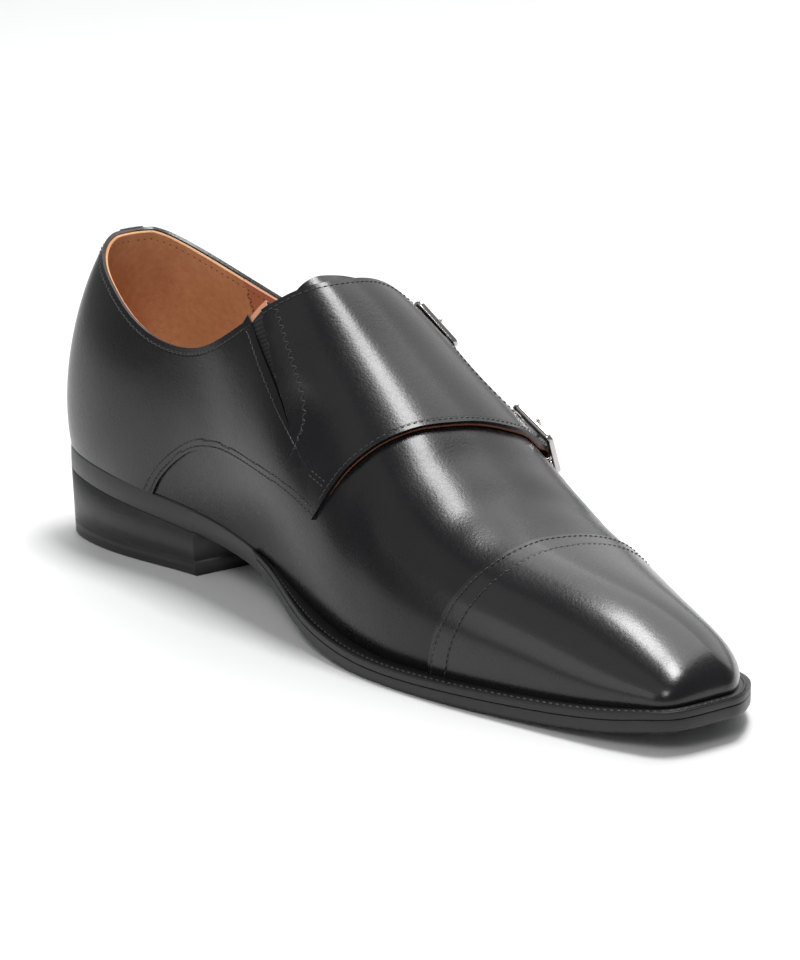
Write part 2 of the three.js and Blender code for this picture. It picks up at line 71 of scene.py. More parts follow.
softbox("overhead", (0.28, -0.02, 1.6), (0, 0, 0), 0.6, 0.42, 20)
softbox("sky", (1.0, 0.5, 1.7), (0, 0, 0), 1.2, 1.0, 8)
softbox("side wall", (2.3, 1.05, 1.3), (0, 0, 0.1), 2.4, 2.0, 14)
softbox("front", (-1.3, -1.0, 1.5), (0, 0.05, 0.08), 0.7, 0.7, 10)
softbox("fill", (-1.5, 0.35, 1.6), (0, 0, 0), 1.6, 1.6, 3.5)
softbox("wall", (-2.3, 0.45, 0.75), (0, 0, 0.05), 0.9, 1.0, 4)
softbox("backdrop", (1.5, 2.9, 1.9), (1.3, 2.0, 0), 1.6, 1.0, 26)

world = bpy.data.worlds.new("studio")
world.use_nodes = True
world.node_tree.nodes["Background"].inputs["Color"].default_value = (0.97, 0.98, 1.0, 1)
world.node_tree.nodes["Background"].inputs["Strength"].default_value = 0.24
bpy.context.scene.world = world


class Value:
    """A shader socket in a sum or product: each operator adds its Math node."""

    def __init__(self, finish, socket):
        self.finish = finish
        self.socket = socket

    def math(self, operation, *others, clamp=False):
        settings = {"operation": operation, "use_clamp": clamp}
        return self.finish.node("Math", settings, dict(enumerate((self, *others))))

    def __add__(self, other):
        return self.math("ADD", other)

    def __sub__(self, other):
        return self.math("SUBTRACT", other)

    def __rsub__(self, other):
        return self.finish.node("Math", {"operation": "SUBTRACT"}, {0: other, 1: self})

    def __mul__(self, other):
        return self.math("MULTIPLY", other)

    def size(self):
        """The value without its sign."""
        return self.math("ABSOLUTE")

    def limited(self):
        """The value held between 0 and 1."""
        return self.math("ADD", 0.0, clamp=True)

    __radd__ = __add__
    __rmul__ = __mul__


class Finish:
    """A material. Values that are the same all over go straight onto the shader's sockets."""

    def __init__(self, name, colour, roughness, **uniform):
        self.material = bpy.data.materials.new(name)
        self.material.use_nodes = True
        self.tree = self.material.node_tree
        self.shader = self.tree.nodes["Principled BSDF"]
        self.set({"Base Color": (*colour, 1), "Roughness": roughness})
        self.set({key.replace("_", " ").title(): value for key, value in uniform.items()})

    def set(self, inputs, node=None):
        """Plugs links into sockets and writes values on them."""
        for key, value in inputs.items():
            socket = (node or self.shader).inputs[key]
            if isinstance(value, Value):
                self.tree.links.new(value.socket, socket)
            else:
                socket.default_value = value

    def node(self, kind, settings=None, inputs=None, output=0):
        """Adds a node: first its settings (a ramp's stops as pairs), then its sockets."""
        node = self.tree.nodes.new("ShaderNode" + kind)
        for key, value in (settings or {}).items():
            if key == "stops":
                while len(node.color_ramp.elements) < len(value):
                    node.color_ramp.elements.new(0.5)
                for element, (position, colour) in zip(node.color_ramp.elements, value):
                    element.position, element.color = position, (*colour, 1)
            else:
                setattr(node, key, value)
        self.set(inputs or {}, node)
        return Value(self, node.outputs[output])

    def place(self):
        """The point of the surface in metres, in the shoe's own frame."""
        return self.node("TexCoord", output="Object")

    def noise(self, scale, detail=2.0, place=None):
        """A cloudy value from 0 to 1, with so many clouds to the metre."""
        inputs = {"Vector": place or self.place(), "Scale": scale, "Detail": detail}
        return self.node("TexNoise", {"normalize": True}, inputs)

    def cells(self, scale, place=None):
        """The distance to the nearest of scattered points."""
        return self.node("TexVoronoi", {"feature": "F1"}, {"Vector": place or self.place(), "Scale": scale})

    def blend(self, factor, first, second):
        """A colour between two, by a Mix node."""
        inputs = {0: factor, 6: (*first, 1), 7: (*second, 1)}
        return self.node("Mix", {"data_type": "RGBA"}, inputs, output=2)

    def shades(self, factor, colour, dark, light):
        """A colour between two multiples of itself."""
        return self.blend(factor, [dark * part for part in colour], [light * part for part in colour])

    def relief(self, *layers):
        """Bumps one over another, each a height from 0 to 1 and its depth in millimetres."""
        normal = None
        for height, depth in layers:
            inputs = {"Height": height, "Distance": abs(depth) * 0.001, "Strength": 1.0}
            if normal is not None:
                inputs["Normal"] = normal
            normal = self.node("Bump", {"invert": depth < 0}, inputs)
        self.set({"Normal": normal})


sweep = bpy.data.meshes.new("sweep")
sweep.from_pydata([(-4, -4, 0), (4, -4, 0), (4, 4, 0), (-4, 4, 0)], [], [(0, 1, 2, 3)])
floor = bpy.data.objects.new("floor", sweep)
floor.data.materials.append(Finish("pale_floor", (0.86, 0.86, 0.86), 0.6).material)
bpy.context.collection.objects.link(floor)


# ------------------------------------------------------------------ vamp
# Black calf pulled over the last from under the quarters to under the toe cap, 1.1 mm
# thick, down to the feather line. This section also holds the last's form, which every
# other leather is laid on.
def table(columns, *rows):
    """Columns of a table by their names."""
    return dict(zip(columns.split(), np.array(rows, float).T))


HEEL_Y = 155.1
SHIFT_X = -4.7
FEATHER = table(
    "row z",
    (0, 32), (30, 29), (70, 24), (110, 19), (150, 12.2), (190, 6.4),
    (220, 6.2), (255, 7.6), (285, 10.3), (308, 14.3))
RIDGE = table(
    "row z x",
    (0, 112, 0), (50, 115, -8), (90, 114.5, -9), (120, 108, -8), (150, 88, -5), (180, 68.5, -5),
    (210, 50.5, -7), (240, 41, -6), (270, 33.8, -2), (290, 26.2, 1), (308, 18.6, 1))
SECTIONS = table(
    "row inner outer ridge bulge_in bulge_out rise reach",
    (5, 0, 0, 34, 6, 6, 0.54, 0.61),
    (10, 24, 20, 36, 5.5, 7, 0.46, 0.54),
    (26, 31, 30, 42, 8, 7, 0.41, 0.5),
    (50, 31, 33.5, 56, 11, 7.5, 0.43, 0.54),
    (80, 26, 36, 80, 13.5, 8, 0.49, 0.61),
    (112, 26.5, 41, 110, 15, 8.5, 0.56, 0.65),
    (142, 32, 47, 140, 14, 8, 0.59, 0.62),
    (172, 38.5, 50, 170, 10.5, 6.5, 0.59, 0.59),
    (200, 40.5, 47, 198, 7.5, 5, 0.62, 0.61),
    (228, 37.5, 39.5, 226, 5, 4, 0.66, 0.64),
    (254, 32, 30.3, 250, 3.5, 2.6, 0.6, 0.62),
    (278, 26, 22, 271, 2.8, 2.4, 0.46, 0.62),
    (295, 21, 12.5, 285, 2.4, 2.2, 0.42, 0.62),
    (301, 17.5, 5.8, 290.5, 2, 2, 0.42, 0.6),
    (302.5, 0, 0, 292.5, 1.8, 1.8, 0.42, 0.6))


def spline(x, y):
    """Natural cubic spline: the second derivatives M solve
    h0 M0 + 2 (h0 + h1) M1 + h1 M2 = 6 (slope1 - slope0), and are 0 at both ends."""
    x, y = np.asarray(x, float), np.asarray(y, float)
    h, inside = np.diff(x), np.arange(1, len(x) - 1)
    matrix, right = np.eye(len(x)), np.zeros(len(x))
    matrix[inside, inside - 1] = h[:-1]
    matrix[inside, inside] = 2 * (h[:-1] + h[1:])
    matrix[inside, inside + 1] = h[1:]
    right[inside] = 6 * np.diff(np.diff(y) / h)
    bend = np.linalg.solve(matrix, right)

    def at(q):
        k = np.clip(np.searchsorted(x, q, side="right") - 1, 0, len(x) - 2)
        a = (x[k + 1] - q) / h[k]
        b = 1 - a
        return a * y[k] + b * y[k + 1] + ((a**3 - a) * bend[k] + (b**3 - b) * bend[k + 1]) * h[k]**2 / 6
    return at


def smoothstep(start, end, x):
    """0 up to the start, 1 from the end on, and k^2 (3 - 2 k) at the share k between."""
    k = np.clip((x - start) / (end - start), 0, 1)
    return k * k * (3 - 2 * k)


def section_splines():
    """Each column along the outline's own length, with three mirrored rows at either end,
    so that heel and toe close round. Half widths change sign in the mirror."""
    wide = (SECTIONS["inner"] + SECTIONS["outer"]) / 2
    length = np.concatenate([[0], np.cumsum(np.hypot(np.diff(SECTIONS["row"]), np.diff(wide)))])
    last = len(length) - 1
    order = np.arange(-3, last + 4)
    k = last - np.abs(last - np.abs(order))
    beyond = (order < 0) | (order > last)
    along = np.where(order < 0, -length[k], np.where(order > last, 2 * length[last] - length[k], length[k]))
    flip = np.where(beyond, -1, 1)
    columns = {name: spline(along, values[k] * (flip if name in ("inner", "outer") else 1))
               for name, values in SECTIONS.items()}
    return columns, length[last]


SECTION, OUTLINE = section_splines()
feather_z = spline(FEATHER["row"], FEATHER["z"])
ridge_z = spline(RIDGE["row"], RIDGE["z"])
ridge_x = spline(RIDGE["row"], RIDGE["x"])
U_STEPS = np.linspace(0, 1, 4001)
ROW_STEPS = SECTION["row"](U_STEPS * OUTLINE)


def u_of_row(row):
    """u where the outline has come to a row, which counts millimetres from the heel's end."""
    return np.interp(row, ROW_STEPS, U_STEPS)


def row_of_u(u):
    """The row at u, from the spline along the outline."""
    return SECTION["row"](u * OUTLINE)


def half_width(u, side):
    """Half the feather line's width on the inner side (-1) or the outer one (1)."""
    at = u * OUTLINE
    return np.where(side < 0, SECTION["inner"](at), SECTION["outer"](at))


def feather(u, side):
    """Point of the feather line and its outward direction in plan."""
    step = 0.01 / OUTLINE
    d_row = np.where((u <= 0) | (u >= 1), 0.0, row_of_u(u + step) - row_of_u(u - step))
    d_half = half_width(u + step, side) - half_width(u - step, side)
    size = np.hypot(d_row, d_half)
    return side * half_width(u, side), row_of_u(u), side * d_row / size, -d_half / size


def last_point(u, t):
    """The last at u (heel 0, toe 1) and t (inner feather -1, ridge 0, outer feather 1).
    Half a section is a cubic Bezier curve: from the feather point straight up over a
    bulge, then level over the top to the ridge."""
    side = np.where(t < 0, -1, 1)
    x0, r0, nx, nr = feather(u, side)
    at = u * OUTLINE
    bulge = np.where(side < 0, SECTION["bulge_in"](at), SECTION["bulge_out"](at))
    top, reach = SECTION["ridge"](at), SECTION["reach"](at)
    slope = (ridge_z(top + 0.05) - ridge_z(top - 0.05)) / 0.1
    x3, z3, z0 = ridge_x(top), ridge_z(top), feather_z(r0)
    w = 1 - np.abs(t)
    weights = [(1 - w)**3, 3 * (1 - w)**2 * w, 3 * (1 - w) * w * w, w**3]
    x = [x0, x0 + nx * bulge, x3 + reach * (x0 - x3), x3]
    r = [r0, r0 + nr * bulge, top + reach * (r0 - top), top]
    z = [z0, z0 + SECTION["rise"](at) * (z3 - z0), z3 + slope * reach * (r0 - top), z3]
    x, r, z = (sum(b * v for b, v in zip(weights, values)) for values in (x, r, z))
    return np.stack([x + SHIFT_X, HEEL_Y - r, z], -1)


def unit(vectors):
    """The same directions at length 1."""
    return vectors / np.maximum(np.linalg.norm(vectors, axis=-1, keepdims=True), 1e-12)


def outward(u, t):
    """Normal of the last: the way along the shoe crossed with the way across it. At the
    tips of heel and toe both halves of a row lie on each other and share one normal."""
    def raw(u, t):
        step = 0.002
        along = last_point(np.minimum(u + step, 1), t) - last_point(np.maximum(u - step, 0), t)
        across = last_point(u, np.minimum(t + step, 1)) - last_point(u, np.maximum(t - step, -1))
        return unit(np.cross(along, across))
    tip = ((u <= 0) | (u >= 1))[..., None]
    return unit(raw(u, t) + np.where(tip, raw(u, -t), 0))


# soft troughs with a ridge on either side: middle, half length and half width along the
# leather, depth, and the turn of the trough from straight across the shoe
CREASES = table(
    "row t length width depth turn",
    (196, -0.02, 34, 6, 0.30, 4),
    (211, 0.06, 38, 6.5, 0.26, -3),
    (226, -0.08, 30, 5.5, 0.14, 5),
    (182, -0.62, 18, 7, 0.22, 30),
    (176, 0.62, 16, 7, 0.22, -35),
    (74, -0.60, 20, 9, 0.35, 75),
    (52, -0.55, 22, 8, 0.22, 82),
    (96, -0.68, 16, 7, 0.25, 60),
    (84, 0.60, 20, 9, 0.35, -78),
    (60, 0.55, 20, 8, 0.22, -84),
    (150, -0.25, 30, 10, 0.25, 12),
    (146, 0.18, 28, 9, 0.18, -12))
LEATHER_T = 75                 # millimetres of leather for one t


def crease(u, t):
    """Height of the creases over the last: for each, -depth exp(-a^2) exp(-b^2) with a
    ridge of half the depth at a = 1.7 on both sides."""
    row = row_of_u(u)[..., None]
    turn = np.radians(CREASES["turn"])
    dr, dt = row - CREASES["row"], LEATHER_T * (t[..., None] - CREASES["t"])
    a = (dr * np.cos(turn) + dt * np.sin(turn)) / CREASES["width"]
    b = (dt * np.cos(turn) - dr * np.sin(turn)) / CREASES["length"]
    wave = 0.5 * (np.exp(-(a - 1.7)**2) + np.exp(-(a + 1.7)**2)) - np.exp(-a**2)
    return np.sum(CREASES["depth"] * wave * np.exp(-b**2), -1)


def skin(u, t, height=0.0):
    """Points at a height over the last, in millimetres."""
    return last_point(u, t) + outward(u, t) * np.asarray(height)[..., None]


def pairs(u, t):
    """(u, t) places from arrays, or from one array and a single number."""
    return np.stack(np.broadcast_arrays(u, t), -1)


def path(points, stops, steps):
    """(u, t) along a natural spline through (row, t) points, with so many equal steps
    between each two of the numbered stops."""
    points = np.array(points, float)
    length = np.linalg.norm(np.diff(points * (1, LEATHER_T), axis=0), axis=1)
    length = np.concatenate([[0], np.cumsum(length)])
    spans = [np.linspace(length[a], length[b], n, endpoint=False)
             for a, b, n in zip(stops, stops[1:], steps)]
    where = np.concatenate(spans + [length[stops[-1]:stops[-1] + 1]])
    row, t = (spline(length, column)(where) for column in points.T)
    return pairs(u_of_row(row), t)


def ruled(first, second, count):
    """A grid of straight steps in (u, t) from one path to another."""
    k = np.linspace(0, 1, count + 1)[None, :, None]
    return first[:, None] * (1 - k) + second[:, None] * k


def add_mesh(name, points, faces, finishes, finish_of=None, columns=None, bevel=0.0):
    """An object from points in millimetres and faces of four corners, where a corner that
    repeats the one before it is dropped. columns are named numbers for each point."""
    kept = faces != np.roll(faces, 1, axis=1)
    whole = kept.sum(1) > 2
    faces, kept = faces[whole], kept[whole]
    mesh = bpy.data.meshes.new(name)
    mesh.vertices.add(len(points))
    mesh.vertices.foreach_set("co", (np.asarray(points) * 0.001).ravel())
    corners = faces[kept]
    mesh.loops.add(len(corners))
    mesh.loops.foreach_set("vertex_index", corners)
    mesh.polygons.add(len(faces))
    counts = kept.sum(1)
    mesh.polygons.foreach_set("loop_start", np.concatenate([[0], np.cumsum(counts)[:-1]]))
    mesh.polygons.foreach_set("use_smooth", np.ones(len(faces), bool))
    if finish_of is not None:
        mesh.polygons.foreach_set("material_index", np.asarray(finish_of)[whole])
    for key, values in (columns or {}).items():
        mesh.attributes.new(key, "FLOAT", "POINT").data.foreach_set("value", values)
    mesh.update(calc_edges=True)
    mesh.validate()
    piece = bpy.data.objects.new(name, mesh)
    bpy.context.collection.objects.link(piece)
    for finish in finishes:
        mesh.materials.append(finish.material)
    if bevel:
        rounded = piece.modifiers.new("rounded edges", "BEVEL")
        rounded.width, rounded.segments = bevel * 0.001, 2
        rounded.limit_method, rounded.angle_limit = "ANGLE", math.radians(40)
        rounded.harden_normals = True
    return piece


def quads(rows, columns, closed=False):
    """Faces of a grid whose points are numbered row by row, as corners a, a+row, next."""
    index = np.arange(rows * columns).reshape(rows, columns)
    if closed:
        index = np.concatenate([index, index[:, :1]], axis=1)
    corners = [index[:-1, :-1], index[1:, :-1], index[1:, 1:], index[:-1, 1:]]
    return np.stack(corners, -1).reshape(-1, 4)


def to_line(points, normals, line):
    """Distance of each point to a line of points in millimetres, negative on one side."""
    start, step = line[:-1], np.diff(line, axis=0)
    long = np.maximum((step**2).sum(1), 1e-9)
    k = np.clip((points @ step.T - (start * step).sum(1)) / long, 0, 1)
    gap = ((points**2).sum(1)[:, None] - 2 * points @ start.T + (start**2).sum(1)
           - 2 * k * (points @ step.T - (start * step).sum(1)) + k**2 * long)
    near = gap.argmin(1)
    away = np.sqrt(np.maximum(gap[np.arange(len(points)), near], 0))
    side = np.einsum("ij,ij->i", np.cross(step[near], points - start[near]), normals)
    return np.where(side < 0, -away, away)


def height_at(level, u, t, ground):
    """Heights over the last: a level is one number or a function of the place."""
    return level(u, t, ground) if callable(level) else np.full(len(u), float(level))


def leather(name, grids, levels, finishes, rows=(), bevel=0.3):
    """A closed piece laid on the last. Equal places in the (u, t) grids are one point, so
    grids join where they touch. Levels are heights over the last from the outside in; the
    wall between two of them, round every open edge, has that layer's finish. Rows are
    lists of seams, kept as distances that the finish sinks its grooves by."""
    places = np.concatenate([grid.reshape(-1, 2) for grid in grids])
    first = np.cumsum([0] + [grid.shape[0] * grid.shape[1] for grid in grids])
    faces = []
    for grid, start in zip(grids, first):
        one = quads(*grid.shape[:2])
        a, b, c, d = (grid.reshape(-1, 2)[one[:, k]] for k in range(4))
        area = np.sum(np.cross(c - a, d - b))
        faces.append((one if area > 0 else one[:, ::-1]) + start)
    tip = (places[:, 0] <= 0) | (places[:, 0] >= 1)
    places[tip, 1] = np.abs(places[tip, 1])
    places, index = np.unique(places.round(7), axis=0, return_inverse=True)
    faces = index.reshape(-1)[np.concatenate(faces)]
    u, t = places.T
    ground, normals = skin(u, t), outward(u, t)
    points = [ground + normals * height_at(level, u, t, ground)[:, None] for level in levels]
    count, layers = len(u), len(levels) - 1
    start, end = faces.ravel(), np.roll(faces, -1, axis=1).ravel()
    start, end = start[start != end], end[start != end]
    rim = ~np.isin(start * count + end, end * count + start)
    start, end = start[rim], end[rim]
    wall = np.stack([end, start, start + count, end + count], 1)
    walls = [wall + layer * count for layer in range(layers)]
    everything = np.concatenate([faces, faces[:, ::-1] + layers * count, *walls])
    finish_of = np.repeat([0, layers - 1, *range(layers)], [len(faces)] * 2 + [len(start)] * layers)
    columns = {}
    for key, seams in zip(("row_a", "row_b"), rows):
        gaps = np.array([to_line(ground, normals, line) for line, _ in seams])
        nearest = gaps[np.abs(gaps).argmin(0), np.arange(count)] * 0.001
        columns[key] = np.tile(nearest, layers + 1)
    return add_mesh(name, np.concatenate(points), everything, finishes, finish_of, columns, bevel)


def belongs(piece, slot, *nodes):
    """The piece joins the root body and stands for the solids named, which are hidden. The slot
    is not used.
    """
    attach(piece, "root")
    if nodes:
        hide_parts(*nodes)


def calf(name, polish, rows=0):
    """Polished black calf: fine pores, a cloudy dull-and-bright finish, soft unevenness,
    and grooves of 0.6 mm under the stitch rows."""
    finish = Finish(name, (0.004, 0.004, 0.005), 0.36, coat_roughness=0.19)
    place = finish.place()
    cloud = finish.noise(55, 3, place)
    grain = finish.noise(900, 2, place)
    pores = finish.cells(1300, place)
    finish.set({
        "Base Color": finish.blend(cloud, (0.0025, 0.0025, 0.0035), (0.006, 0.0058, 0.0068)),
        "Roughness": 0.20 + cloud * 0.08 + grain * 0.10,
        "Coat Weight": polish + cloud * 0.08,
        "IOR": 1.37,
    })
    dents, wrinkles = finish.noise(38, 1, place), finish.noise(300, 2, place)
    layers = [(dents, 0.22), (wrinkles, 0.035), (grain, 0.035), (pores, 0.02)]
    for key in ("row_a", "row_b")[:rows]:
        gap = finish.node("Attribute", {"attribute_name": key}, output="Fac")
        groove = (1 - gap.size() * 1600).limited()
        layers.append((groove * groove * (3 - 2 * groove), -0.22))
    finish.relief(*layers)
    return finish


# where the quarters end on the vamp: (row, t) from the feather line up to the instep
INNER_SEAM = [(64, -1), (67, -0.965), (73, -0.915), (80, -0.873), (88, -0.84), (97, -0.821), (107, -0.811),
              (120, -0.8), (135, -0.776), (149, -0.744), (158, -0.729), (165.5, -0.722)]
OUTER_SEAM = [(39, 1), (44, 0.955), (58, 0.9), (76, 0.846), (98, 0.785), (120, 0.727), (138, 0.664),
              (150, 0.623), (160, 0.58)]


def cap_row(t):
    """The row of the toe cap's edge: furthest back at the ridge."""
    return 233 - np.where(t < 0, 19 * t**2 - 6 * t**4, 13 * t**2)


def line_on_last(route):
    """The points on the last along a route of (u, t) places."""
    return skin(route[:, 0], route[:, 1])


inner_seam = path(INNER_SEAM, (0, len(INNER_SEAM) - 1), (110,))
outer_seam = path(OUTER_SEAM, (0, len(OUTER_SEAM) - 1), (110,))
SINK = 0.9                     # the vamp dips this much where a quarter covers it
COVER = table(
    "t row",
    (-0.722, 165), (-0.58, 171), (-0.4, 176), (0, 184), (0.2, 183), (0.38, 180), (0.6, 172))


def vamp_height(u, t, ground):
    """0 in the open, SINK lower behind either seam, as far forward as the panel covers it,
    and the creases on top."""
    normals = outward(u, t)
    behind = np.where(t < 0, to_line(ground, normals, line_on_last(inner_seam)),
                      -to_line(ground, normals, line_on_last(outer_seam)))
    covered = smoothstep(0, 6, np.interp(t, COVER["t"], COVER["row"]) - row_of_u(u))
    return -SINK * smoothstep(-0.2, 4, behind) * covered + crease(u, t)


VAMP_REAR = table(
    "t row",
    (-1, 55), (-0.96, 58), (-0.9, 66), (-0.85, 76), (-0.82, 88), (-0.81, 100), (-0.8, 112), (-0.776, 127),
    (-0.744, 141), (-0.7, 152), (-0.5, 156), (0, 160), (0.4, 154), (0.58, 150), (0.64, 138), (0.68, 124),
    (0.72, 112), (0.785, 90), (0.846, 68), (0.9, 50), (0.955, 36), (1, 31))
VAMP_THICK = 1.1
UNDER_CAP = 8                  # the vamp runs on this far under the toe cap
across = np.linspace(-1, 1, 151)
vamp_back = pairs(u_of_row(np.interp(across, VAMP_REAR["t"], VAMP_REAR["row"])), across)
vamp_front = pairs(u_of_row(cap_row(across) + UNDER_CAP), across)
vamp = leather("vamp", [ruled(vamp_back, vamp_front, 130)],
               [vamp_height, lambda *place: vamp_height(*place) - VAMP_THICK], [calf("vamp_calf", 0.12)])
belongs(vamp, "black_leather", "upper")


# ------------------------------------------------------------------ toe cap
# A second layer of calf over the vamp, about 1 mm proud, polished harder than the rest.
# Its edge is held by two rows of black thread 5.3 mm apart.
def seam(route, inset, level=0.0):
    """Points and normals of a line on the leather, at a distance to the left of a route
    as it runs. The level is the leather's height, as for a piece."""
    u, t = route.T
    ground, normals = skin(u, t), outward(u, t)
    side = np.cross(normals, unit(np.gradient(ground, axis=0)))
    return ground + side * inset + normals * height_at(level, u, t, ground)[:, None], normals


def thread(name, seams, finish, pitch=2.1, long=1.6, thick=0.19, turn=0.0):
    """Stitches as one mesh. Each is 5 rings of 6 points: at s from -1 to 1 the ring stands
    at x = s long / 2 and z = thick (0.5 - 1.5 s^2), and its radius is thick (1 - 0.4 s^2).
    With a turn the stitches lean to one side and the other, as a zigzag."""
    s = np.array([-1, -0.55, 0, 0.55, 1])[:, None]
    angle = np.arange(6) * math.pi / 3
    radius = thick * (1 - 0.4 * s**2)
    shape = np.stack([s * long / 2 + 0 * angle, radius * np.cos(angle),
                      thick * (0.5 - 1.5 * s**2) + radius * np.sin(angle)], -1).reshape(-1, 3)
    ends = np.array([[0, 1, 2, 3], [0, 3, 4, 5], [27, 26, 25, 24], [29, 28, 27, 24]])
    faces = np.concatenate([quads(5, 6, closed=True), ends])
    points = []
    for line, normals in seams:
        length = np.concatenate([[0], np.cumsum(np.linalg.norm(np.diff(line, axis=0), axis=1))])
        middle = np.arange(pitch / 2, length[-1], pitch)
        place, ahead, behind, out = (
            np.stack([np.interp(middle + shift, length, column) for column in values.T], -1)
            for shift, values in ((0, line), (long / 2, line), (-long / 2, line), (0, normals)))
        along = unit(ahead - behind)
        out = unit(out - along * np.sum(out * along, -1, keepdims=True))
        lean = math.radians(turn) * np.where(np.arange(len(middle)) % 2, -1, 1)[:, None]
        along = along * np.cos(lean) + np.cross(out, along) * np.sin(lean)
        axes = np.stack([along, np.cross(out, along), out], 1)
        points.append((place[:, None] + shape @ axes).reshape(-1, 3))
    points = np.concatenate(points)
    count = len(points) // len(shape)
    faces = (faces[None, :, ::-1] + np.arange(count)[:, None, None] * len(shape)).reshape(-1, 4)
    return add_mesh(name, points, faces, [finish])


def thread_finish(name, colour):
    """Waxed thread: two twisted strands show as slanting light and dark."""
    finish = Finish(name, colour, 0.42)
    twist = finish.noise(2600, 1)
    finish.set({"Base Color": finish.shades(twist, colour, 0.55, 1.5)})
    finish.relief((twist, 0.05))
    return finish


CAP = 0.95                     # height of the cap's face over the last
black_thread = thread_finish("black_thread", (0.035, 0.034, 0.036))
cap_edge = pairs(u_of_row(cap_row(across)), across)
cap_rows = [seam(cap_edge, inset, CAP) for inset in (-1.3, -6.6)]
cap = leather("toe_cap", [ruled(cap_edge, pairs(1.0, across), 72)], [CAP, 0.02],
              [calf("cap_calf", 0.45, rows=2)], rows=[cap_rows[:1], cap_rows[1:]], bevel=0.45)
belongs(cap, "black_leather")
belongs(thread("cap_stitching", cap_rows, black_thread), "black_leather")


# ------------------------------------------------------------------ inner quarter and strap panel
# One piece of calf: the inner quarter runs forward into the panel over the instep, which
# parts round a U into two straps. Only a slit for the elastic divides them at the top. The
# quarter is sewn down on the vamp with two rows, the panel stands free on its own lining,
# whose red-brown edge shows under the black one.
COLLAR = table(
    "row inner outer",
    (18, 100.8, 101), (26, 94.8, 96.2), (38, 89, 89.8), (52, 82.4, 84.2), (64, 78, 80),
    (76, 76.2, 77.6), (88, 77.5, 78.4), (100, 82.2, 81.6), (112, 90.2, 85), (120, 96, 87.5), (132, 104, 93))
COLLAR_X = 28                  # the heights are given this far from the shoe's middle
COLLAR_BACK = (-40, 101.5)     # the line goes on straight to here behind the heel
PANEL_REAR = [(120.2, -0.374), (124.4, -0.3), (128.4, -0.2), (131.2, -0.1), (132.6, 0), (131.6, 0.1),
              (129.8, 0.2), (128.6, 0.3), (128, 0.38), (125.5, 0.45), (119.8, 0.51), (110.6, 0.6),
              (99.2, 0.7), (92.6, 0.755), (89.8, 0.785), (88.8, 0.812), (90, 0.838)]
PANEL_SLIT = [(148.5, -0.58), (137, -0.508), (124.8, -0.412), (120.2, -0.374)]
PANEL_FRONT = [(165.5, -0.722), (168.5, -0.66), (171.4, -0.58), (173.8, -0.5), (176.6, -0.4), (179, -0.3),
               (181.2, -0.2), (183, -0.1), (184.4, 0), (184.4, 0.1), (184, 0.2), (183, 0.3), (180.9, 0.38),
               (178.8, 0.45), (176.8, 0.51), (173, 0.6), (169.4, 0.7), (166.2, 0.78), (163.2, 0.84),
               (157.7, 0.862)]
PANEL_MIDDLE = [(157, -0.651), (155, -0.5), (154.5, -0.4), (155.5, -0.2), (157, 0), (156.5, 0.15),
                (154.5, 0.28), (152.5, 0.387)]
BETWEEN_STRAPS = [(90, 0.838), (94, 0.852), (99, 0.838), (104.4, 0.803), (119.8, 0.664), (128.4, 0.571),
                  (137, 0.475), (141.5, 0.43), (146.5, 0.4), (152.5, 0.387), (158.5, 0.392), (163, 0.418),
                  (165, 0.455), (164.7, 0.491), (160.5, 0.606), (156.7, 0.71), (152.9, 0.791),
                  (151, 0.825), (152.6, 0.85), (157.7, 0.862)]
QUARTER_EDGE = [(113.5, -0.416), (123.5, -0.473), (135.5, -0.52), (148.5, -0.58)]
SLIT_ROW = [(116.5, -0.47), (125, -0.52), (136, -0.562), (150.5, -0.592)]
ZIGZAG_ROW = [(125.5, -0.32), (134, -0.37), (141, -0.407), (148.5, -0.455), (151.5, -0.515), (151, -0.58)]
TACK = [(160.5, -0.605), (168.5, -0.588)]
PANEL_HEIGHT = 2.35            # face of the panel over the last
PANEL_THICK = 1.9
QUARTER_THICK = 1.3
BUCKLES = {
    "upper": {"at": (124, 0.54), "towards": (134, 0.433), "hang": (110, 0.68)},
    "lower": {"at": (166.4, 0.61), "towards": (170.4, 0.5), "hang": (162.4, 0.72)},
}
STRAP_BUMP = 2.6               # how far a strap climbs over its centre bar,
BUMP_LENGTH = 4.2              # and how long the hump is
BUMP_WIDE = 9                  # it fades out this far from the strap's middle line


def collar_height(x, row):
    """Height of the top line at a point of the plan: it tilts evenly from side to side."""
    back = np.clip((18 - row) / (18 - COLLAR_BACK[0]), 0, 1)
    inner, outer = (
        spline(COLLAR["row"], COLLAR[side])(np.maximum(row, 18)) * (1 - back) + COLLAR_BACK[1] * back
        for side in ("inner", "outer"))
    return (inner + outer) / 2 + (outer - inner) / 2 * (x - SHIFT_X) / COLLAR_X


def top_line(u, side, below=0.0):
    """(u, t) where the last crosses the top line, found by halving t between feather and
    ridge. below lowers it by millimetres of leather."""
    t_low, t_high = np.full_like(u, float(side)), np.zeros_like(u)
    for _ in range(30):
        t = (t_low + t_high) / 2
        x, y, z = np.moveaxis(last_point(u, t), -1, 0)
        over = z > collar_height(x, HEEL_Y - y)
        t_low, t_high = np.where(over, t_low, t), np.where(over, t, t_high)
    return pairs(u, t_low + side * below / LEATHER_T)


def buckle_axes(where):
    """Centre and axes of a buckle in millimetres: along its strap towards the instep,
    across it, and out of the leather."""
    row, t = np.array([where[key] for key in ("at", "towards", "hang")]).T
    at, towards, hang = skin(u_of_row(row), t)
    out = outward(u_of_row(row), t)[0]
    along = unit(towards - hang)
    along = unit(along - out * (along @ out))
    return at, np.stack([along, np.cross(out, along), out])


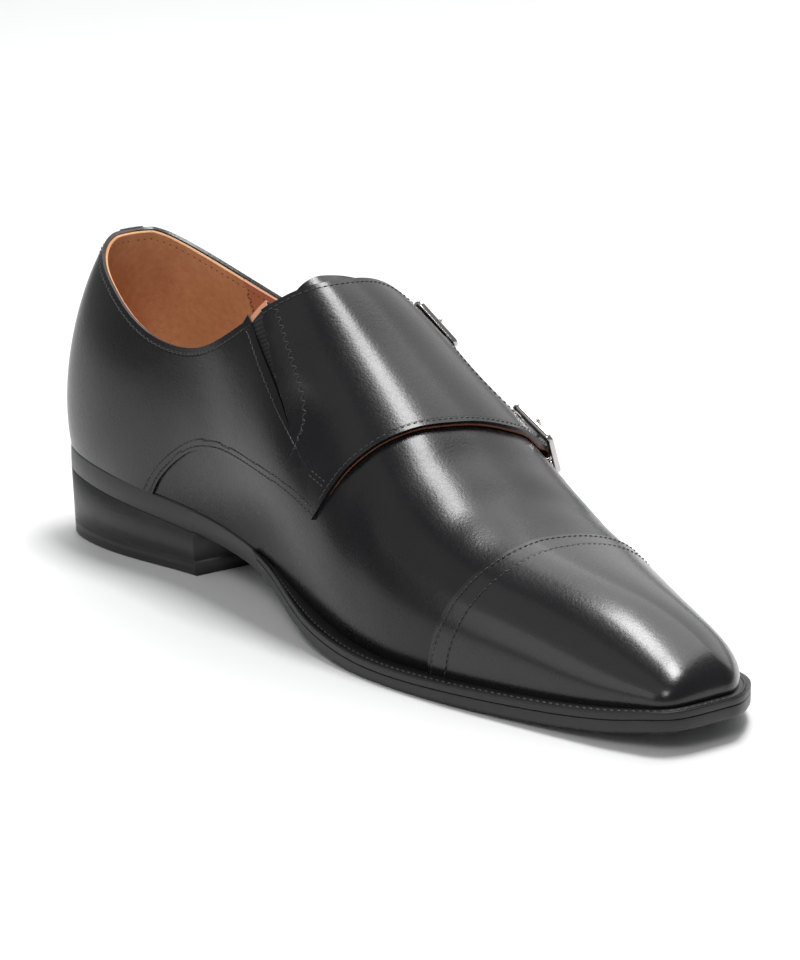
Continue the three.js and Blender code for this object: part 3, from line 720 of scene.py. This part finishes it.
def strap_lift(ground):
    """The strap climbs over each centre bar: STRAP_BUMP exp(-(x / BUMP_LENGTH)^2)."""
    lift = np.zeros(len(ground))
    for where in BUCKLES.values():
        centre, axes = buckle_axes(where)
        x, y, z = ((ground - centre) @ axes.T).T
        near = np.exp(-(x / BUMP_LENGTH)**2) * (1 - smoothstep(BUMP_WIDE, BUMP_WIDE + 4, np.abs(y)))
        lift += np.where(np.abs(z) < 12, STRAP_BUMP * near, 0)
    return lift


STEPS = (30, 72, 52)           # of the panel: beside the slit, over the instep, the straps
HALF = 24                      # steps across each half of the panel
slit = path(PANEL_SLIT, (0, 3), STEPS[:1])
rear = np.concatenate([slit[:-1], path(PANEL_REAR, (0, 8, 16), STEPS[1:])])
front = path(PANEL_FRONT, (0, 4, 12, 19), STEPS)
join = np.stack([rear[0], front[0]])
middle = path(PANEL_MIDDLE, (0, 2, 7), STEPS[:2])
middle[0] = join.mean(0)
between = path(BETWEEN_STRAPS, (0, 9, 19), STEPS[2:] * 2)
upper_side = np.concatenate([middle[:-1], between[STEPS[2]::-1]])
lower_side = np.concatenate([middle[:-1], between[STEPS[2]:]])
join_line = line_on_last(join)

QUARTER_STEPS = (46, 42, 44)   # of the quarter: along the feather, the collar, the slit
feather_part = pairs(np.linspace(0, u_of_row(64), QUARTER_STEPS[0], endpoint=False), -1.0)
quarter_low = np.concatenate([feather_part, path(INNER_SEAM, (0, 6, 11), QUARTER_STEPS[1:])])
collar_u = np.concatenate([np.linspace(0, u_of_row(62), QUARTER_STEPS[0], endpoint=False),
                           np.linspace(u_of_row(62), u_of_row(113.5), QUARTER_STEPS[1], endpoint=False)])
inner_collar = top_line(collar_u, -1)
quarter_edge = path(QUARTER_EDGE, (0, 3), QUARTER_STEPS[2:])
quarter_high = np.concatenate([inner_collar, quarter_edge])


def quarter_height(seam_line):
    """Height of a quarter's face: 0.95 mm by the seam, where it lies on the vamp, and
    0.35 mm from 28 mm above it on, with the creases on top."""
    def height(u, t, ground):
        away = np.abs(to_line(ground, outward(u, t), seam_line))
        return 0.35 + 0.6 * (1 - smoothstep(3, 28, away)) + crease(u, t)
    return height


inner_height = quarter_height(line_on_last(inner_seam))


def freedom(u, t, ground):
    """0 on the quarter, rising to 1 within 22 mm in front of the line where it ends."""
    return smoothstep(0, 22, to_line(ground, outward(u, t), join_line))


def panel_height(u, t, ground):
    """From the quarter's height to PANEL_HEIGHT, with the humps over the buckles' bars."""
    free = freedom(u, t, ground)
    return inner_height(u, t, ground) * (1 - free) + PANEL_HEIGHT * free + strap_lift(ground)


def panel_under(u, t, ground, share=1.0):
    """A share of the thickness below the face."""
    thick = QUARTER_THICK + (PANEL_THICK - QUARTER_THICK) * freedom(u, t, ground)
    return panel_height(u, t, ground) - share * thick


def panel_lining_top(u, t, ground):
    """The black calf takes 97 % of the quarter's thickness and 62 % of the free panel's."""
    return panel_under(u, t, ground, 0.97 - 0.35 * freedom(u, t, ground))


def cut_edge(name, colour):
    """Dyed leather edge, matt, streaked along its layers."""
    finish = Finish(name, colour, 0.6)
    streak = finish.noise(700, 3)
    finish.set({"Base Color": finish.shades(streak, colour, 0.6, 1.35), "Roughness": 0.5 + streak * 0.25})
    finish.relief((streak, 0.08))
    return finish


red_edge = cut_edge("red_brown_edge", (0.19, 0.062, 0.034))
quarter_calf = calf("quarter_calf", 0.16, rows=2)
inner_rows = [seam(inner_seam, inset, inner_height) for inset in (1.3, 3.2)]
collar_row = seam(inner_collar[2:], -2.2, inner_height)
slit_row = seam(path(SLIT_ROW, (0, 3), (60,)), 0, inner_height)
zigzag_row = seam(path(ZIGZAG_ROW, (0, 5), (60,)), 0, panel_height)
front_row = seam(front[8:], 1.5, panel_height)
rear_row = seam(rear[STEPS[0] + 1:-6], -1.7, panel_height)
between_row = seam(between[8:-8], -2.4, panel_height)
tack_rows = [seam(path(TACK, (0, 1), (10,)), inset, panel_height) for inset in (-0.8, 0.8)]
panel_grids = [ruled(quarter_low, quarter_high, 2 * HALF),
               ruled(rear, upper_side, HALF), ruled(lower_side, front, HALF)]
panel_rows = [front_row, rear_row, between_row, slit_row]
panel = leather(
    "strap_panel_and_inner_quarter", panel_grids, [panel_height, panel_lining_top, panel_under],
    [quarter_calf, red_edge],
    rows=[[inner_rows[0], *panel_rows, collar_row], [inner_rows[1], zigzag_row]])
belongs(panel, "black_leather", "strap_panel")
belongs(thread("panel_stitching", [*inner_rows, collar_row, *tack_rows, *panel_rows], black_thread),
        "black_leather")
belongs(thread("zigzag_stitching", [zigzag_row], black_thread, pitch=1.5, long=2.2, turn=52), "black_leather")


# ------------------------------------------------------------------ outer quarter
# Calf 1.3 mm thick from the back seam round the outer side and on under the straps, sewn
# down on the vamp with two rows that climb to the instep.
FACING = [(123, 0.34), (136, 0.29), (148, 0.27), (158, 0.24)]
outer_height = quarter_height(line_on_last(outer_seam))
outer_low = np.concatenate([
    pairs(np.linspace(0, u_of_row(39), 30, endpoint=False), 1.0),
    path(OUTER_SEAM, (0, len(OUTER_SEAM) - 1), (120,))])
outer_collar = top_line(np.linspace(0, u_of_row(121), 111), 1)
outer_high = np.concatenate([outer_collar, path(FACING, (0, 3), (39,))])
outer_rows = [seam(outer_seam, inset, outer_height) for inset in (-1.3, -3.2)]
outer_collar_row = seam(outer_collar[2:], 2.2, outer_height)
outer = leather("outer_quarter", [ruled(outer_low, outer_high, 44)],
                [outer_height, lambda *place: outer_height(*place) - QUARTER_THICK], [quarter_calf],
                rows=[[outer_rows[0], outer_collar_row], outer_rows[1:]])
belongs(outer, "black_leather")
belongs(thread("outer_stitching", [*outer_rows, outer_collar_row], black_thread), "black_leather")


# ------------------------------------------------------------------ back tab
# A small strip of calf over the back seam, 17 mm high, level with the top line.
tab_u = np.linspace(0, 0.022, 9)
tab_halves = [ruled(top_line(tab_u, side, below=-0.1), top_line(tab_u, side, below=17), 14)
              for side in (-1, 1)]
belongs(leather("back_tab", tab_halves, [0.95, 0.1], [quarter_calf]), "black_leather")


# ------------------------------------------------------------------ heel lining
# Tan suede from one side round the heel to the other, flesh side out, on the inside of
# the quarters and just short of their top line.
suede = Finish("tan_suede", (0.7, 0.30, 0.14), 0.92)
suede_place = suede.place()
# broad cloudy patches, partly wear and partly painted shade, swing the suede between dark and light tan
wear_and_painted_shade = suede.noise(38, 4, suede_place)
nap = suede.noise(420, 4, suede_place)
suede_shade = wear_and_painted_shade * 1.1 + nap * 0.5 - 0.3
suede.set({"Base Color": suede.blend(suede_shade, (0.54, 0.24, 0.10), (0.96, 0.60, 0.34))})
suede.relief((nap, 0.25), (suede.noise(1500, 2, suede_place), 0.12))
LINING_SPLIT = 43              # the row where the suede meets the smooth lining
LINING = [-0.98, -2.08]        # its two faces, over the last
LINING_BELOW = 0.25            # how far its edge stays below the top line
lining_u = np.linspace(0, u_of_row(LINING_SPLIT), 70)
lining_halves = [ruled(pairs(lining_u, float(side)), top_line(lining_u, side, LINING_BELOW), 40)
                 for side in (-1, 1)]
belongs(leather("heel_lining", lining_halves, LINING, [suede]), "lining_leather")


# ------------------------------------------------------------------ front lining
# Smooth red-brown calf from the heel lining forward, under the quarters and the vamp.
front_lining_calf = Finish("red_brown_lining", (0.45, 0.13, 0.06), 0.5)
lining_place = front_lining_calf.place()
lining_grain = front_lining_calf.noise(700, 3, lining_place)
lining_cloud = front_lining_calf.noise(45, 3, lining_place)
front_lining_calf.set({
    "Base Color": front_lining_calf.blend(lining_cloud, (0.52, 0.20, 0.11), (0.72, 0.34, 0.20)),
    "Roughness": 0.42 + lining_cloud * 0.2,
})
front_lining_calf.relief((lining_grain, 0.06), (lining_cloud, 0.2))
side_grids = []
for side, row, edge in ((-1, 113.5, QUARTER_EDGE), (1, 123, FACING)):
    edge_u = np.linspace(u_of_row(LINING_SPLIT) + 0.0004, u_of_row(row), 20)
    lining_high = np.concatenate([top_line(edge_u, side, LINING_BELOW),
                                  path(edge, (0, 3), (44,))[1:] + (0, 0.006 * side)])
    lining_low = pairs(np.linspace(edge_u[0], lining_high[-1, 0], len(lining_high)), float(side))
    side_grids.append(ruled(lining_low, lining_high, 30))
belongs(leather("side_linings", side_grids, LINING, [front_lining_calf]), "lining_leather")
vamp_u = np.linspace(u_of_row(166), u_of_row(262), 50)
vamp_lining = leather("vamp_lining", [ruled(pairs(vamp_u, -1.0), pairs(vamp_u, 1.0), 60)],
                      [-1.15, -2.0], [front_lining_calf])
belongs(vamp_lining, "lining_leather")


def lining_seam(route, inset=0):
    """A seam on the lining's inner face: its normals point into the shoe."""
    line, normals = seam(route, inset, LINING[1])
    return line, -normals


tan_thread = thread_finish("tan_thread", (0.10, 0.045, 0.028))
edge_seams = []
split_seams = []
for side, row, count in ((-1, 113, 110), (1, 121, 120)):
    edge_seams.append(lining_seam(top_line(np.linspace(0.004, u_of_row(row), count), side), 3.4 * side))
    split_u = np.full(40, u_of_row(LINING_SPLIT))
    split_top = top_line(split_u[:1], side, below=0.05 * LEATHER_T)[0, 1]
    split_seams.append(lining_seam(pairs(split_u, np.linspace(side, split_top, 40))))
belongs(thread("lining_stitching", edge_seams, tan_thread, pitch=2.3, long=1.2), "lining_leather")
belongs(thread("lining_zigzag", split_seams, tan_thread, pitch=1.6, long=2.4, turn=50), "lining_leather")


# ------------------------------------------------------------------ tongue
# Calf under the panel. Its rounded top stands a few millimetres clear of the panel's edge.
tongue_t = np.linspace(-0.25, 0.25, 41)
tongue_rear = 128.1 + 4 * tongue_t - 30 * tongue_t**2 + 500 * tongue_t**4
tongue_back = pairs(u_of_row(tongue_rear), tongue_t)
tongue_front = pairs(u_of_row(165 - 300 * tongue_t**2), tongue_t)
tongue = leather("tongue_piece", [ruled(tongue_back, tongue_front, 30)], [-0.2, -1.2, -2.0],
                 [quarter_calf, front_lining_calf])
belongs(tongue, "black_leather", "tongue")


# ------------------------------------------------------------------ elastic gore
# A wedge of black elastic webbing in the slit between inner quarter and panel, ribbed
# across, with a folded hem of tan lining at its top.
webbing = Finish("elastic_webbing", (0.02, 0.02, 0.022), 0.75)
rib = webbing.node("TexWave", {"wave_type": "BANDS", "bands_direction": "DIAGONAL"},
                   {"Vector": webbing.place(), "Scale": 260.0, "Distortion": 0.6})
webbing.set({"Base Color": webbing.blend(rib, (0.004, 0.004, 0.0045), (0.016, 0.016, 0.018))})
webbing.relief((rib, 0.25))
gore_share = np.linspace(0, 1, 41)
gore_low = path(QUARTER_EDGE, (0, 3), (40,)) + (0, -0.03)
gore_high = pairs(u_of_row(119 + 30 * gore_share), -0.33 - 0.24 * gore_share)
gore = leather("gore_piece", [ruled(gore_low, gore_high, 10)], [-0.4, -1.7], [webbing])
belongs(gore, "elastic_webbing", "gore")
HEM_SHIFT = (-0.0015, 0)       # in (u, t): the hem laps over the elastic's top edge
hem_grid = ruled(gore_low[:3] + HEM_SHIFT, gore_high[:3] + HEM_SHIFT, 10)
belongs(leather("gore_hem", [hem_grid], [-0.2, -2.0], [front_lining_calf]), "lining_leather")


# ------------------------------------------------------------------ welt
# A strip of black leather 2 mm thick round the forepart, standing 3.8 to 5.6 mm out. The
# stitches that hold it to the sole lie in a furrow, pressed by a wheel.
HEEL_SHELF = 0.4               # how far the sole stands out at the heel,
SHELF = 5.6                    # beside the ball
TOE_SHELF = 3.8                # and at the toe
WELT_START = 118
WELT = 2.0
FURROW = 0.62                  # the furrow's place, as a share of the way out
FURROW_DEEP = 0.38


def shelf(row):
    """How far the sole stands out from the feather line."""
    return (HEEL_SHELF + smoothstep(WELT_START - 8, 172, row) * (SHELF - HEEL_SHELF)
            - smoothstep(284, 302, row) * (SHELF - TOE_SHELF))


def edge_points(u, side, profile):
    """Rings of points (station, profile, 3): each profile entry is a distance outside the
    feather line and a height, both arrays over the stations."""
    x0, row, nx, nr = feather(u, side)
    distance, z = (np.stack([np.broadcast_to(entry[k], u.shape) for entry in profile], -1) for k in (0, 1))
    x = x0[:, None] + nx[:, None] * distance + SHIFT_X
    y = HEEL_Y - (row[:, None] + nr[:, None] * distance)
    return np.stack([x, y, z], -1)


def both_sides(u, profile):
    """Rings across the shoe: a profile on the inner side, and back over the outer one."""
    inner, outer = (edge_points(u, side, profile) for side in (-1.0, 1.0))
    return np.concatenate([inner, outer[:, ::-1]], 1)


def solid_of_rings(name, rings, finishes, finish_of=None, closed=False):
    """A closed mesh from rings of points along a way; points on one place are made one.
    The way has two ends, which are filled, or runs round when it is closed."""
    count, size = rings.shape[:2]
    faces = quads(count, size, closed=True)
    if closed:
        index = np.arange(size)
        turn = np.roll(index, -1)
        last = (count - 1) * size
        faces = np.concatenate([faces, np.stack([last + index, index, turn, last + turn], -1)])
    else:
        half = np.arange(size // 2 - 1)
        cap = np.stack([half, half + 1, size - 2 - half, size - 1 - half], -1)
        faces = np.concatenate([faces, cap, cap[:, ::-1] + (count - 1) * size])
    flat = rings.reshape(-1, 3)
    _, first, index = np.unique(flat.round(4), axis=0, return_index=True, return_inverse=True)
    return add_mesh(name, flat[first], index.reshape(-1)[faces], finishes, finish_of)


def edge_finish(name, colour, roughness):
    """Inked and waxed leather edge: faint streaks along the layers, small nicks."""
    finish = Finish(name, colour, roughness)
    place = finish.place()
    layers = finish.node("Mapping", {}, {"Vector": place, "Scale": (60, 60, 1600)})
    streak = finish.noise(1.0, 3, layers)
    nick = finish.noise(240, 3, place)
    finish.set({
        "Base Color": finish.shades(nick, colour, 0.7, 1.5),
        "Roughness": roughness + nick * 0.16 - 0.05,
    })
    finish.relief((streak, 0.05), (nick, 0.06))
    return finish


u_welt = np.linspace(u_of_row(WELT_START), 1, 240)
around = np.concatenate([u_welt, u_welt[-2::-1]])
sides = np.concatenate([-np.ones(240), np.ones(239)])
inward = -np.minimum(11, 0.6 * half_width(around, sides))
welt_out = shelf(row_of_u(around))
welt_top = feather_z(row_of_u(around)) + 0.1
welt_low = welt_top - WELT - 0.4
furrow = FURROW * welt_out
welt_profile = [(inward, welt_top), (0.2, welt_top),
                (furrow - 0.9, welt_top), (furrow - 0.45, welt_top - 0.28), (furrow, welt_top - FURROW_DEEP),
                (furrow + 0.45, welt_top - 0.28), (furrow + 0.9, welt_top),
                (welt_out - 0.6, welt_top), (welt_out - 0.25, welt_top - 0.08),
                (welt_out - 0.07, welt_top - 0.28), (welt_out, welt_top - 0.6),
                (welt_out + 0.02, welt_low + 0.3), (welt_out - 0.1, welt_low + 0.08),
                (welt_out - 0.3, welt_low), (inward * 0.5, welt_low), (inward, welt_low)]
welt_rings = edge_points(around, sides, welt_profile)
welt_black = edge_finish("black_welt", (0.008, 0.008, 0.009), 0.42)
welt = solid_of_rings("welt_piece", welt_rings[:, ::-1], [welt_black])
belongs(welt, "sole_leather", "welt")
furrow_line = edge_points(around, sides, [(furrow, welt_top - FURROW_DEEP)])[:, 0]
up = np.broadcast_to((0.0, 0.0, 1.0), furrow_line.shape)
welt_thread = thread_finish("welt_thread", (0.05, 0.048, 0.05))
belongs(thread("welt_stitching", [(furrow_line, up)], welt_thread, pitch=2.3, long=1.9, thick=0.36),
        "sole_leather")


# ------------------------------------------------------------------ outsole
# Leather sole under the welt and the waist, its edge inked black and rounded. It touches
# the floor only at the ball.
FORE_EDGE = 6.2
HEEL_EDGE = 7.6
BREAST = 82                    # the row of the heel's flat front face


def edge_thickness(row):
    """HEEL_EDGE over the heel, thinning to FORE_EDGE through the waist."""
    return FORE_EDGE + (HEEL_EDGE - FORE_EDGE) * (1 - smoothstep(80, 125, row))


def sole_bottom(row):
    """Height of the sole's lower face, which lies flat on the floor under the ball."""
    return np.maximum(feather_z(row) - edge_thickness(row) - 0.15, 0)


u_sole = np.linspace(0, 1, 420)
row_sole = row_of_u(u_sole)
out = shelf(row_sole)
under_welt = smoothstep(WELT_START + 0.5, WELT_START + 2, row_sole)
sole_top = feather_z(row_sole) + 0.1 - under_welt * (WELT + 0.5)
sole_low = sole_bottom(row_sole)
over_heel = 1 - smoothstep(BREAST - 1, BREAST + 1, row_sole)
soft = 1 - 0.8 * over_heel      # the lower corner is sharp where the heel is nailed on
tight = 1 - 0.7 * under_welt    # and the upper one under the welt
sole_profile = [(out - 0.8 * tight, sole_top), (out - 0.35 * tight, sole_top - 0.1 * tight),
                (out - 0.1 * tight, sole_top - 0.38 * tight), (out, sole_top - 0.8 * tight),
                (out + 0.05, sole_top * 0.5 + sole_low * 0.5), (out, sole_low + 0.9 * soft),
                (out - 0.3 * soft, sole_low + 0.3 * soft), (out - 1.0 * soft, sole_low)]
sole_black = edge_finish("black_sole_edge", (0.010, 0.010, 0.011), 0.36)
outsole = solid_of_rings("outsole_piece", both_sides(u_sole, sole_profile), [sole_black])
belongs(outsole, "sole_leather", "outsole")


# ------------------------------------------------------------------ heel
# Stacked leather lifts inked black, 2 mm smaller at the floor, with a rubber top piece
# marked off by a line. The breast is flat.
HEEL_TAPER = 1.0
TOP_PIECE = 5.15               # height of the line over the top piece
u_heel = np.linspace(0, u_of_row(BREAST), 150)
row_heel = row_of_u(u_heel)
heel_top = feather_z(row_heel) - edge_thickness(row_heel) - 0.2
heel_out = shelf(row_heel)
heel_foot = heel_out - HEEL_TAPER


def heel_wall(z):
    """The heel's side at a height: it draws in evenly, by HEEL_TAPER at the floor."""
    return heel_out - HEEL_TAPER * (1 - z / heel_top), z


heel_profile = [(heel_out - 0.15, heel_top), heel_wall(heel_top - 0.12), heel_wall(heel_top * 0.5),
                heel_wall(TOP_PIECE + 0.25), (heel_foot - 0.12, TOP_PIECE), heel_wall(TOP_PIECE - 0.25),
                heel_wall(0.5), (heel_foot - 0.25, 0.12), (heel_foot - 0.7, 0.0)]
heel = solid_of_rings("heel_block", both_sides(u_heel, heel_profile), [sole_black])
belongs(heel, "sole_leather", "heel")


# ------------------------------------------------------------------ insole
# The sock: smooth tan leather over the whole footbed, cloudy from wear.
INSOLE = 2.4
u_sock = np.linspace(0.012, 0.985, 160)
sock_z = feather_z(row_of_u(u_sock))
sock_profile = [(-1.7, sock_z + INSOLE), (-1.5, sock_z + INSOLE - 0.3), (-2.4, sock_z + 0.08)]
sock_leather = Finish("sock_leather", (0.45, 0.22, 0.11), 0.45)
sock_wear = sock_leather.noise(30, 3)
sock_leather.set({
    "Base Color": sock_leather.blend(sock_wear, (0.36, 0.165, 0.08), (0.58, 0.30, 0.16)),
    "Roughness": 0.34 + sock_wear * 0.22,
})
sock_leather.relief((sock_leather.noise(600, 3), 0.05))
sock = solid_of_rings("sock", both_sides(u_sock, sock_profile), [sock_leather])
belongs(sock, "lining_leather", "insole")


# ------------------------------------------------------------------ buckles
# Two polished steel frames with a centre bar under the strap and a short prong: rounded
# rectangles 20 by 19.2 mm. The bevel round the opening has a darker brown colour: a painted
# reflection of the dark brown surroundings that it mirrors.
def steel(name, colour, roughness):
    """Polished steel: cloudy from handling, with faint lines from the polishing wheel."""
    finish = Finish(name, colour, roughness, metallic=1.0)
    place = finish.place()
    smear = finish.noise(160, 3, place)
    fine = finish.noise(2200, 2, finish.node("Mapping", {}, {"Vector": place, "Scale": (1, 0.08, 1)}))
    finish.set({
        "Base Color": finish.shades(smear, colour, 0.82, 1.12),
        "Roughness": roughness + smear * 0.08,
    })
    finish.relief((fine, 0.012))
    return finish


def rounded(long_low, long_high, wide, corner):
    """Points round a rectangle: 10 steps round each corner, 8 along each side."""
    centres = np.array([(long_high - corner, wide - corner), (long_low + corner, wide - corner),
                        (long_low + corner, -wide + corner), (long_high - corner, -wide + corner)])
    angle = np.radians(np.linspace(0, 90, 11) + np.arange(0, 360, 90)[:, None])
    corners = centres[:, None] + corner * np.stack([np.cos(angle), np.sin(angle)], -1)
    ends, ahead = corners[:, -1:], np.roll(corners[:, :1], -1, axis=0)
    sides = ends + (ahead - ends) * np.linspace(0, 1, 9)[1:-1, None]
    return np.concatenate([corners, sides], 1).reshape(-1, 2)


def rod(line, side, radius):
    """Rings of 10 points round a line that is bent in the plane square to side."""
    angle = (np.arange(10) * math.pi / 5)[:, None]
    up = np.cross(unit(np.gradient(line, axis=0)), side)[:, None]
    return line[:, None] + np.reshape(radius, (-1, 1, 1)) * (np.cos(angle) * side + np.sin(angle) * up)


FRAME_LONG = 10                # half the frame's length along the strap
FRAME_WIDE = 9.6               # and half its width
FRAME_FRONT = 3                # breadth of the frame's front, back and sides
FRAME_BACK = 2
FRAME_SIDE = 1.8
FRAME_BASE = 2.7               # height of its back over the last
# the bar that the frame is made of: share of its breadth from the opening out, height
FRAME_SECTION = table(
    "share z",
    (0, 0.3), (0, 1.5), (0.06, 1.8), (0.2, 2.0), (0.8, 2.0),
    (0.94, 1.8), (1, 1.5), (1, 0.3), (0.9, 0), (0.1, 0))
BEVEL = 6                      # the face beside the opening, counted from the outside
BAR_RADIUS = 0.6
BAR_HALF = [(0, 8.7, 3.6), (0, 8.7, 2.6), (0, 8.55, 1.5), (0, 7.8, 1.05)]
PRONG = table(
    "x z radius",
    (0, 1.95, 0.7), (0, 3.5, 0.7), (0, 5.0, 0.75), (0.5, 5.75, 0.8), (1.6, 6.0, 0.8), (3.4, 5.85, 0.75),
    (5.6, 5.7, 0.7), (7.6, 5.65, 0.62), (8.7, 5.6, 0.4))
bright_steel = steel("polished_steel", (0.52, 0.50, 0.49), 0.14)
# painted reflection: the bevel's dark brown steel stands in for the dark surroundings it mirrors
steel_with_painted_reflection = steel("steel_face_painted_reflection", (0.16, 0.125, 0.11), 0.2)

outline = rounded(-FRAME_LONG, FRAME_LONG, FRAME_WIDE, 2.4)[:, None]
opening = rounded(-FRAME_LONG + FRAME_BACK, FRAME_LONG - FRAME_FRONT, FRAME_WIDE - FRAME_SIDE, 1.0)[:, None]
share = FRAME_SECTION["share"][:, None]
plan = opening * (1 - share) + outline * share
level = np.broadcast_to(FRAME_BASE + FRAME_SECTION["z"], plan.shape[:2])
frame_rings = np.concatenate([plan, level[..., None]], -1)[:, ::-1]
frame_faces = np.tile(np.arange(len(share)) == BEVEL, len(plan)).astype(int)
bar_line = np.array([*(np.array(BAR_HALF) * (1, -1, 1)), (0, 0, 1.05), *BAR_HALF[::-1]])
bar_rings = rod(bar_line, np.array([1.0, 0, 0]), BAR_RADIUS)
prong_line = np.stack([PRONG["x"], 0 * PRONG["x"], PRONG["z"]], -1)
prong_rings = rod(prong_line, np.array([0, 1.0, 0]), PRONG["radius"])
for name, where in BUCKLES.items():
    centre, axes = buckle_axes(where)
    buckle = solid_of_rings(f"buckle_frame_{name}", centre + frame_rings @ axes,
                            [bright_steel, steel_with_painted_reflection], frame_faces, closed=True)
    bar = solid_of_rings(f"buckle_bar_{name}", centre + bar_rings @ axes, [bright_steel])
    prong = solid_of_rings(f"prong_piece_{name}", centre + prong_rings @ axes, [bright_steel])
    belongs(buckle, "buckle_steel", f"buckle_{name}")
    belongs(bar, "buckle_steel")
    belongs(prong, "buckle_steel", f"prong_{name}")
